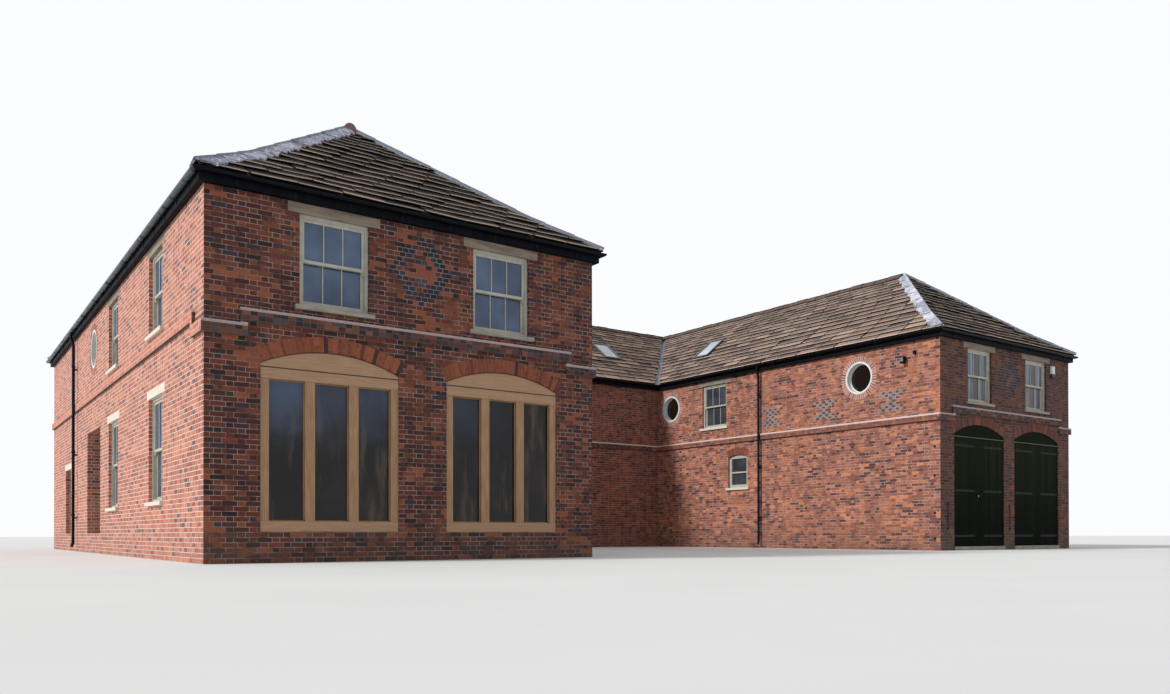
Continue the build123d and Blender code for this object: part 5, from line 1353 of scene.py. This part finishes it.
def slate_finish(name, brightness, unshaded_reach, grime):
    """Weathered stone of one run of slopes, with painted light and shadow on each slate."""
    w = Finish(name, roughness=0.88, Specular_IOR_Level=0.10)
    over, along, depth = w.split(w.marked("part", "Vector"))
    bloom = w.ease(w.noise(w.place, 1.4, 6.0, 0.65), 0.45, 0.70)
    moss = w.ease(w.noise(w.place, 3.2, 6.0, 0.7), 0.60, 0.78)
    # Darker towards the ridge.
    towards_ridge = w.ease(w.split(w.place)[2], 6.2, 8.6)
    pits = w.noise(w.place, 26.0, 6.0, 0.7)
    colour = w.steps(w.marked("tone"), SLATE_COLOURS, "LINEAR")
    for share, stain in ((bloom * 0.35, tint(170, 148, 134)), (moss * 0.25, tint(80, 72, 58)),
                         (towards_ridge * grime, tint(56, 54, 56))):
        colour = w.mix(share, colour, stain)
    colour = w.pitted(colour, pits, 0.6, (130, 126, 122), 0.25)
    # Painted shadow: the face under the next tail and the gap under each tail nearly black, and
    # the sides darker between neighbours. Painted light: the rim along each tail pale, partly its
    # split edge.
    tail_shadow = w.ease(along, unshaded_reach, unshaded_reach + 0.15)
    rim = w.ease(along + (pits - 0.5) * 0.04, 0.075, 0.02)
    gap_shadow = w.ease(depth, 1.0 - unshaded_reach, 0.82 - unshaded_reach)
    side = w.ease(abs(over - 0.5), 0.484, 0.497)
    for share, edge in ((tail_shadow * 0.95, tint(14, 12, 12)), (rim * 0.75, tint(202, 184, 166)),
                        (gap_shadow, tint(10, 9, 9)), (side * 0.6, tint(40, 35, 33))):
        colour = w.mix(share, colour, edge)
    w.colour(w.mix(1.0, colour, (brightness, brightness, brightness, 1.0), "MULTIPLY"))
    w.relief(pits + bloom * 0.6, 0.012)
    return w.material


slate_of = {}
for name, (brightness, unshaded_reach, grime, slopes) in SLATE_SHADES.items():
    slate_of.update(dict.fromkeys(slopes, slate_finish(name, brightness, unshaded_reach, grime)))
roof_boarding = flecked("roof_boarding", tint(52, 44, 38), tint(72, 62, 54), (5.0, 5.0),
                        roughness=0.85)


def lowered_deck(node):
    """The roof's own solid with its upper face let down to carry the slates."""
    shape = bmesh.new()
    shape.from_mesh(nodes[node].data)
    bmesh.ops.remove_doubles(shape, verts=shape.verts, dist=1e-5)
    for corner in shape.verts:
        if any(face.normal.z > 0.5 for face in corner.link_faces):
            corner.co.z -= DECK_DROP
    mesh = bpy.data.meshes.new(node)
    shape.to_mesh(mesh)
    shape.free()
    mesh.materials.append(roof_boarding)
    return mesh


for number, (name, (side, eaves, run_in, left_lean, right_lean)) in enumerate(SLOPES.items()):
    valleys = VALLEY_ENDS.get(name, ())
    left_margin, right_margin = (VALLEY_MARGIN if end in valleys else HIP_MARGIN
                                 for end in (0, 1))
    corner = on_side(side, EAVES_REACH if 0 in valleys else -EAVES_REACH, EAVES_REACH)
    start = min(0.0, left_lean)
    across = ceil((eaves + 2 * run_in * len(valleys) + 1.0)
                  / (FIRST_WIDTH - WIDTH_LOSS * SLATE_COURSES)) + 2
    slates = grow("slates", SLATES, Across=across, Eaves=eaves - start, Run=run_in,
                  Left_Lean=left_lean, Right_Lean=right_lean, Left_Margin=left_margin - start,
                  Right_Margin=right_margin, Turn=radians(SIDE_START[side][2]),
                  Place=corner + side_turn(side) @ Vector((start, 0, 0)),
                  Unevenness=FRONT_UNEVENNESS if name.endswith("_hip") else 1.0,
                  Seed=FIRST_SLATE_SEED + number, Stone=slate_of[name])
    gather(f"{name}_slates", [slates])
    deck = gather(f"{name}_boarding", [lowered_deck(f"{name}_slope")])
    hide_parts(f"{name}_slope")

# The leadwork: a wood roll down each hip dressed with lead in short lengths that lap like
# steps over the slates, its edges beaten down course by course, and wide lead gutters
# bedded in both valleys.
LEAD_REACH = 0.22
TRIMMED_REACH = 0.06
TRIMMED_HIPS = ("left_inner", "right_inner", "right_outer")
LEAD_LENGTH = 0.62
DRESSED_STEPS = 4
LEAD_PROUD = 0.010
LEAD_RAGGED = 0.018
LEAD_LAP = 0.012
LEAD_BURIED = 0.02
ROLL_RADIUS = 0.028
ROLL_HEEL = 0.006
ROLL_POINTS = 6
APEX_ROOM = (0.7, 0.03)
LEAD_TOP = 8.815
EAVES_CORNERS = {"left_outer": (-12.95, -9.645), "left_inner": (-5.36, -9.645),
                 "right_inner": (5.86, -9.645), "right_outer": (12.95, -9.645),
                 "right_rear": (12.95, 9.645), "left_rear": (-12.95, 9.645)}
APEXES = {"left_outer": (-9.155, -5.975), "left_inner": (-9.155, -5.975),
          "right_inner": (9.405, -5.975), "right_outer": (9.405, -5.975),
          "right_rear": (9.405, 5.865), "left_rear": (-9.155, 5.865)}
w = Finish("old_lead", roughness=0.55, Metallic=0.15)
patina = w.noise(w.place, 2.2, 6.0, 0.65)
streak = w.noise(w.stretched(3.0, 3.0, 0.6), 5.0, 5.0, 0.7)
# Painted light: the lead is paler on the right wing's hips than on the left wing's.
sunny = w.ease(w.split(w.place)[0], -1.0, 1.0)
colour = w.mix(w.ease(patina, 0.36, 0.66), w.mix(sunny, tint(92, 98, 120), tint(136, 140, 158)),
               w.mix(sunny, tint(166, 166, 186), tint(222, 218, 232)))
w.colour(w.mix(w.ease(streak, 0.48, 0.66) * 0.6, colour, tint(246, 243, 250)))
w.relief(patina + streak * 0.5, 0.01)
old_lead = w.material
w = Finish("valley_lead", roughness=0.5, Metallic=0.15)
w.colour(w.mix(w.noise(w.place, 3.0, 5.0), tint(84, 90, 102), tint(128, 134, 148)))
w.relief(w.noise(w.place, 6.0, 4.0), 0.006)
dull_lead = w.material
dress(dull_lead, "lead_valleys")


def hip_line(share):
    """Height of a hip at a share of its run, with the gentler pitch at its foot."""
    if share < BELL_RUN_SHARE:
        return EAVES_LEVEL + ROOF_RISE * BELL_RISE_SHARE * share / BELL_RUN_SHARE
    return EAVES_LEVEL + ROOF_RISE * (BELL_RISE_SHARE + (1 - BELL_RISE_SHARE) * (
        share - BELL_RUN_SHARE) / (1 - BELL_RUN_SHARE))


def lead_section(shape, corner, share, lift, ragged):
    """Outline of the lead across a hip, at a share of the way from the eaves to the apex."""
    (x, y), (ax, ay) = EAVES_CORNERS[corner], APEXES[corner]
    sx, sy = (1 if ax > x else -1), (1 if ay > y else -1)
    cx, cy, z = x + (ax - x) * share, y + (ay - y) * share, hip_line(share)
    room = APEX_ROOM[0] * min(abs(ax - cx), abs(ay - cy)) + APEX_ROOM[1]
    front, beside = (sqrt(2) * min(reach + ragged * min(reach / LEAD_REACH, 1.0), room)
                     for reach in (TRIMMED_REACH if corner in TRIMMED_HIPS else LEAD_REACH,
                                   LEAD_REACH))
    outline = [(cx + sx * front, cy, z - LEAD_BURIED), (cx + sx * front, cy, z + lift)]
    for j in range(ROLL_POINTS + 1):
        off = 0.707 * ROLL_RADIUS * cos(pi * j / ROLL_POINTS)
        outline.append((cx + sx * off, cy - sy * off, z + lift + ROLL_HEEL
                        + 1.1 * ROLL_RADIUS * sin(pi * j / ROLL_POINTS)))
    outline += [(cx, cy + sy * beside, z + lift), (cx, cy + sy * beside, z - LEAD_BURIED)]
    return [shape.verts.new((px, py, min(pz, LEAD_TOP))) for px, py, pz in outline]


def hip_lead(shape):
    """Lapped lengths over each hip, their edges stepped where they were dressed down."""
    for number, (corner, (x, y)) in enumerate(EAVES_CORNERS.items()):
        ax, ay = APEXES[corner]
        steps = round(hypot(ax - x, ay - y) / LEAD_LENGTH) * DRESSED_STEPS
        for k in range(steps):
            ragged = LEAD_RAGGED * sin(2.3 * k + number)
            faces = skin(shape, *[lead_section(
                shape, corner, (k + end) / steps,
                LEAD_PROUD + LEAD_LAP * (1 - (k % DRESSED_STEPS + end) / DRESSED_STEPS),
                ragged + LEAD_RAGGED * (1 - 2 * end)) for end in (0, 1)])
            for j, face in enumerate(faces):
                # Painted shade: the front wing and near half of the roll on the trimmed hips, and
                # the roll on the left wing's outer hips, take the darker valley lead.
                shaded_face = j < 5 if corner in TRIMMED_HIPS else 2 <= j < 8 and x < 0
                face.material_index = int(shaded_face)


cover = fit("hip_lead_lengths", hip_lead, "lead", old_lead, dull_lead)
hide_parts("lead_hips")

# The ridge: cut stone pieces bedded in mortar along the top, and a red tile closing the
# left wing's ridge where the hips meet.
RIDGE_PIECE = 0.50
RIDGE_SETTLING = 0.026
RIDGE_JOINT = 0.010
RIDGE_PROFILE = ((-0.20, 8.650), (-0.20, 8.690), (-0.05, 8.807), (0.0, 8.819),
                 (0.05, 8.807), (0.20, 8.690), (0.20, 8.650), (0.0, 8.74))
RIDGE_LINES = (((-9.155, -5.935), (-9.155, 5.865)), ((-9.155, 5.865), (9.405, 5.865)),
               ((9.405, 5.865), (9.405, -5.935)))
TILE_MIDDLE = (-9.155, 8.667)
TILE_SIZE = (0.13, 0.140)
TILE_ENDS = (-6.13, -5.86)


def ridge_pieces(shape):
    """Short saddle-shaped stones end to end, each set a touch higher or lower."""
    for (x, y), (ex, ey) in RIDGE_LINES:
        length = hypot(ex - x, ey - y)
        count = round(length / RIDGE_PIECE)
        way = Vector((ex - x, ey - y, 0)).normalized()
        out = Vector((way.y, -way.x, 0))
        for k in range(count):
            drop = RIDGE_SETTLING * ((k * 7) % 5) / 4
            ends = (length * k / count + RIDGE_JOINT, length * (k + 1) / count - RIDGE_JOINT)
            skin(shape, *[[shape.verts.new(Vector((x, y, 0)) + way * distance + out * off
                                           + Vector((0, 0, z - drop)))
                           for off, z in RIDGE_PROFILE] for distance in ends])


w = Finish("ridge_stone", roughness=0.88, Specular_IOR_Level=0.10)
grain = w.noise(w.place, 22.0, 6.0, 0.7)
lichen = w.ease(w.noise(w.place, 4.0, 5.0, 0.7), 0.5, 0.7)
colour = w.mix(grain, tint(82, 73, 69), tint(120, 106, 98))
w.colour(w.mix(lichen * 0.4, colour, tint(150, 136, 122)))
w.relief(grain, 0.008)
ridge = fit("ridge_saddles", ridge_pieces, "stone_slates", w.material)
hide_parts("ridge_stones")


def ridge_end(shape):
    """Half-round closing tile at the left apex."""
    (x, z), (wide, high) = TILE_MIDDLE, TILE_SIZE
    skin(shape, *[[shape.verts.new((x + wide * cos(pi * k / 10), depth,
                                    z + high * sin(pi * k / 10))) for k in range(11)]
                  for depth in TILE_ENDS])


fit("ridge_end_tile", ridge_end, "arch_brickwork",
    flecked("red_tile", tint(110, 78, 74), tint(148, 116, 110), (30.0, 5.0, 0.7), 0.003,
            roughness=0.8))

# The eaves: black boxed boards, half-round black gutters held by brackets, joined by
# sockets, and round black downpipes with a collar above each bracket.
GUTTER_LINE = 0.156
GUTTER_LIP = 5.935
GUTTER_RADIUS = 0.056
GUTTER_PIECE = 1.83
SKY_SHEEN_GUTTER = (-12.78, -9.5)
HOOP_SWEEP = radians(154)
BRACKET_SPACING = 0.92
PIPE_LINE = 0.098
COLLAR_LEVELS = (0.95, 2.65, 4.95)
COLLAR_RINGS = ((0.0, 0.055, 0.045), (0.055, 0.066, 0.0485))
COLLAR_EARS = ((-0.075, -0.064, 0.006), (0.075, -0.056, 0.050))
BRACKET_HOOP = (0.004, 0.028)
SOCKET_HOOPS = ((0.0045, 0.085, 0.0), (0.0058, 0.016, -0.03))
# Both straps of a bracket's arm: half width, front, back, drops of foot and head, and edge
BRACKET_ARMS = ((0.014, -0.112, -0.100, 0.150, 0.0, 0.002),
                (0.006, -0.118, -0.104, 0.110, 0.045, 0.001))
SIDE_LENGTHS = {"left_front": 7.25, "left_court": 11.73, "back_court": 11.56,
                "right_court": 11.73, "right_front": 6.75, "right_outer": 18.95,
                "rear": 25.56, "left_outer": 18.95}
PIPES = (("left_outer", 5.27), ("right_outer", 13.68), ("left_court", 6.56),
         ("right_court", 5.17), ("rear", 4.78), ("rear", 20.78))
black = painted("black_gloss", tint(14, 16, 24), tint(30, 33, 42), roughness=0.38, scale=3.0,
                Specular_IOR_Level=0.12)
dress(painted("black_boards", tint(10, 11, 18), tint(24, 26, 34), roughness=0.6,
              Specular_IOR_Level=0.08), "eaves_boards")
dress(black, "downpipes")
w = Finish("gutter_gloss", roughness=0.3, Specular_IOR_Level=0.12)
dust = w.noise(w.place, 3.0, 5.0, 0.65)
colour = w.mix(w.ease(dust, 0.35, 0.8), tint(6, 8, 13), tint(16, 19, 26))
x, y, z = w.split(w.place)
# Painted reflection: the gutter along the outer wall is painted a pale teal grey for the sky it
# reflects.
sky_sheen = (x < SKY_SHEEN_GUTTER[0]) * (y > SKY_SHEEN_GUTTER[1])
w.colour(w.mix(sky_sheen * 0.85, colour, w.mix(dust, tint(56, 72, 74), tint(86, 104, 106))))
w.relief(dust, 0.001)
dress(w.material, "gutters")


def half_hoop(shape, thickness, width, offset=0.0):
    """Hoop under a gutter, from the back up to just short of its outer lip."""
    inner_low, outer_low, inner_high, outer_high = [
        [shape.verts.new((along, -GUTTER_LINE + r * cos(HOOP_SWEEP * k / 10),
                          GUTTER_LIP - r * sin(HOOP_SWEEP * k / 10))) for k in range(11)]
        for along in (offset - width / 2, offset + width / 2)
        for r in (GUTTER_RADIUS, GUTTER_RADIUS + thickness)]
    for k in range(10):
        for a, b in ((outer_low, outer_high), (inner_high, inner_low), (inner_low, outer_low),
                     (outer_high, inner_high)):
            shape.faces.new((a[k], a[k + 1], b[k + 1], b[k]))
    for k in (0, 10):
        shape.faces.new((inner_low[k], outer_low[k], outer_high[k], inner_high[k]))


def bracket(shape):
    """Gutter bracket: a flat hoop with an arm back to the fascia."""
    half_hoop(shape, *BRACKET_HOOP)
    for half, front, back, foot, head, edge in BRACKET_ARMS:
        bevelled_box(shape, (-half, front, GUTTER_LIP - foot), (half, back, GUTTER_LIP - head),
                     edge)


def socket(shape):
    """Thicker joint where two lengths of gutter meet."""
    for hoop in SOCKET_HOOPS:
        half_hoop(shape, *hoop)


def collar(shape):
    """Ring round a downpipe, with its two ears."""
    for low, high, radius in COLLAR_RINGS:
        bmesh.ops.create_cone(shape, cap_ends=True, segments=20, radius1=radius,
                              radius2=radius, depth=high - low,
                              matrix=Matrix.Translation((0, -PIPE_LINE, (low + high) / 2)))
    bevelled_box(shape, *COLLAR_EARS, 0.002)


spots, joints = [], []
for side, length in SIDE_LENGTHS.items():
    count = round(length / BRACKET_SPACING)
    spots += [spot(side, length * (k + 0.5) / count) for k in range(count)]
    pieces = round(length / GUTTER_PIECE)
    joints += [spot(side, length * (k + 1) / pieces) for k in range(pieces - 1)]
gather("gutter_brackets", [copies("brackets", drawn("bracket", bracket), spots, black),
                           copies("sockets", drawn("socket", socket), joints, black)])
spots = [spot(side, along, level) for side, along in PIPES for level in COLLAR_LEVELS]
gather("downpipe_collars", [copies("collars", drawn("collar", collar), spots, black)])

# The rooflights: dark grey metal frames with a flat pane, screwed down through the
# boarding and flashed to the slates all round.
dress(painted("dark_metal", tint(58, 60, 64), tint(84, 86, 90), roughness=0.4), "rooflights")

# The lamp on the court wall, a small black floodlight with a pale lens and a sensor, and the
# alarm box, a white moulding with a dark base.
dress(black, "outside_light")
ALARM_BASE = 5.30
LAMP_LENS = ((5.866, -8.428, 5.225), (5.871, -8.342, 5.335))


def lens(shape):
    """Flat glass of the lamp, a little proud of its casing."""
    bevelled_box(shape, *LAMP_LENS, 0.0015)


fit("lamp_lens", lens, "lamp_casing",
    flecked("pale_lens", tint(112, 118, 122), tint(134, 140, 144), (200.0, 2.0),
            roughness=0.2))
w = Finish("alarm_moulding", roughness=0.4)
chalk = w.noise(w.place, 14.0, 4.0)
shell = w.mix(chalk, tint(226, 228, 230), tint(206, 208, 210))
w.colour(w.mix(w.split(w.place)[2] < ALARM_BASE, shell, tint(34, 36, 62)))
w.relief(chalk, 0.001)
dress(w.material, "alarm_box")
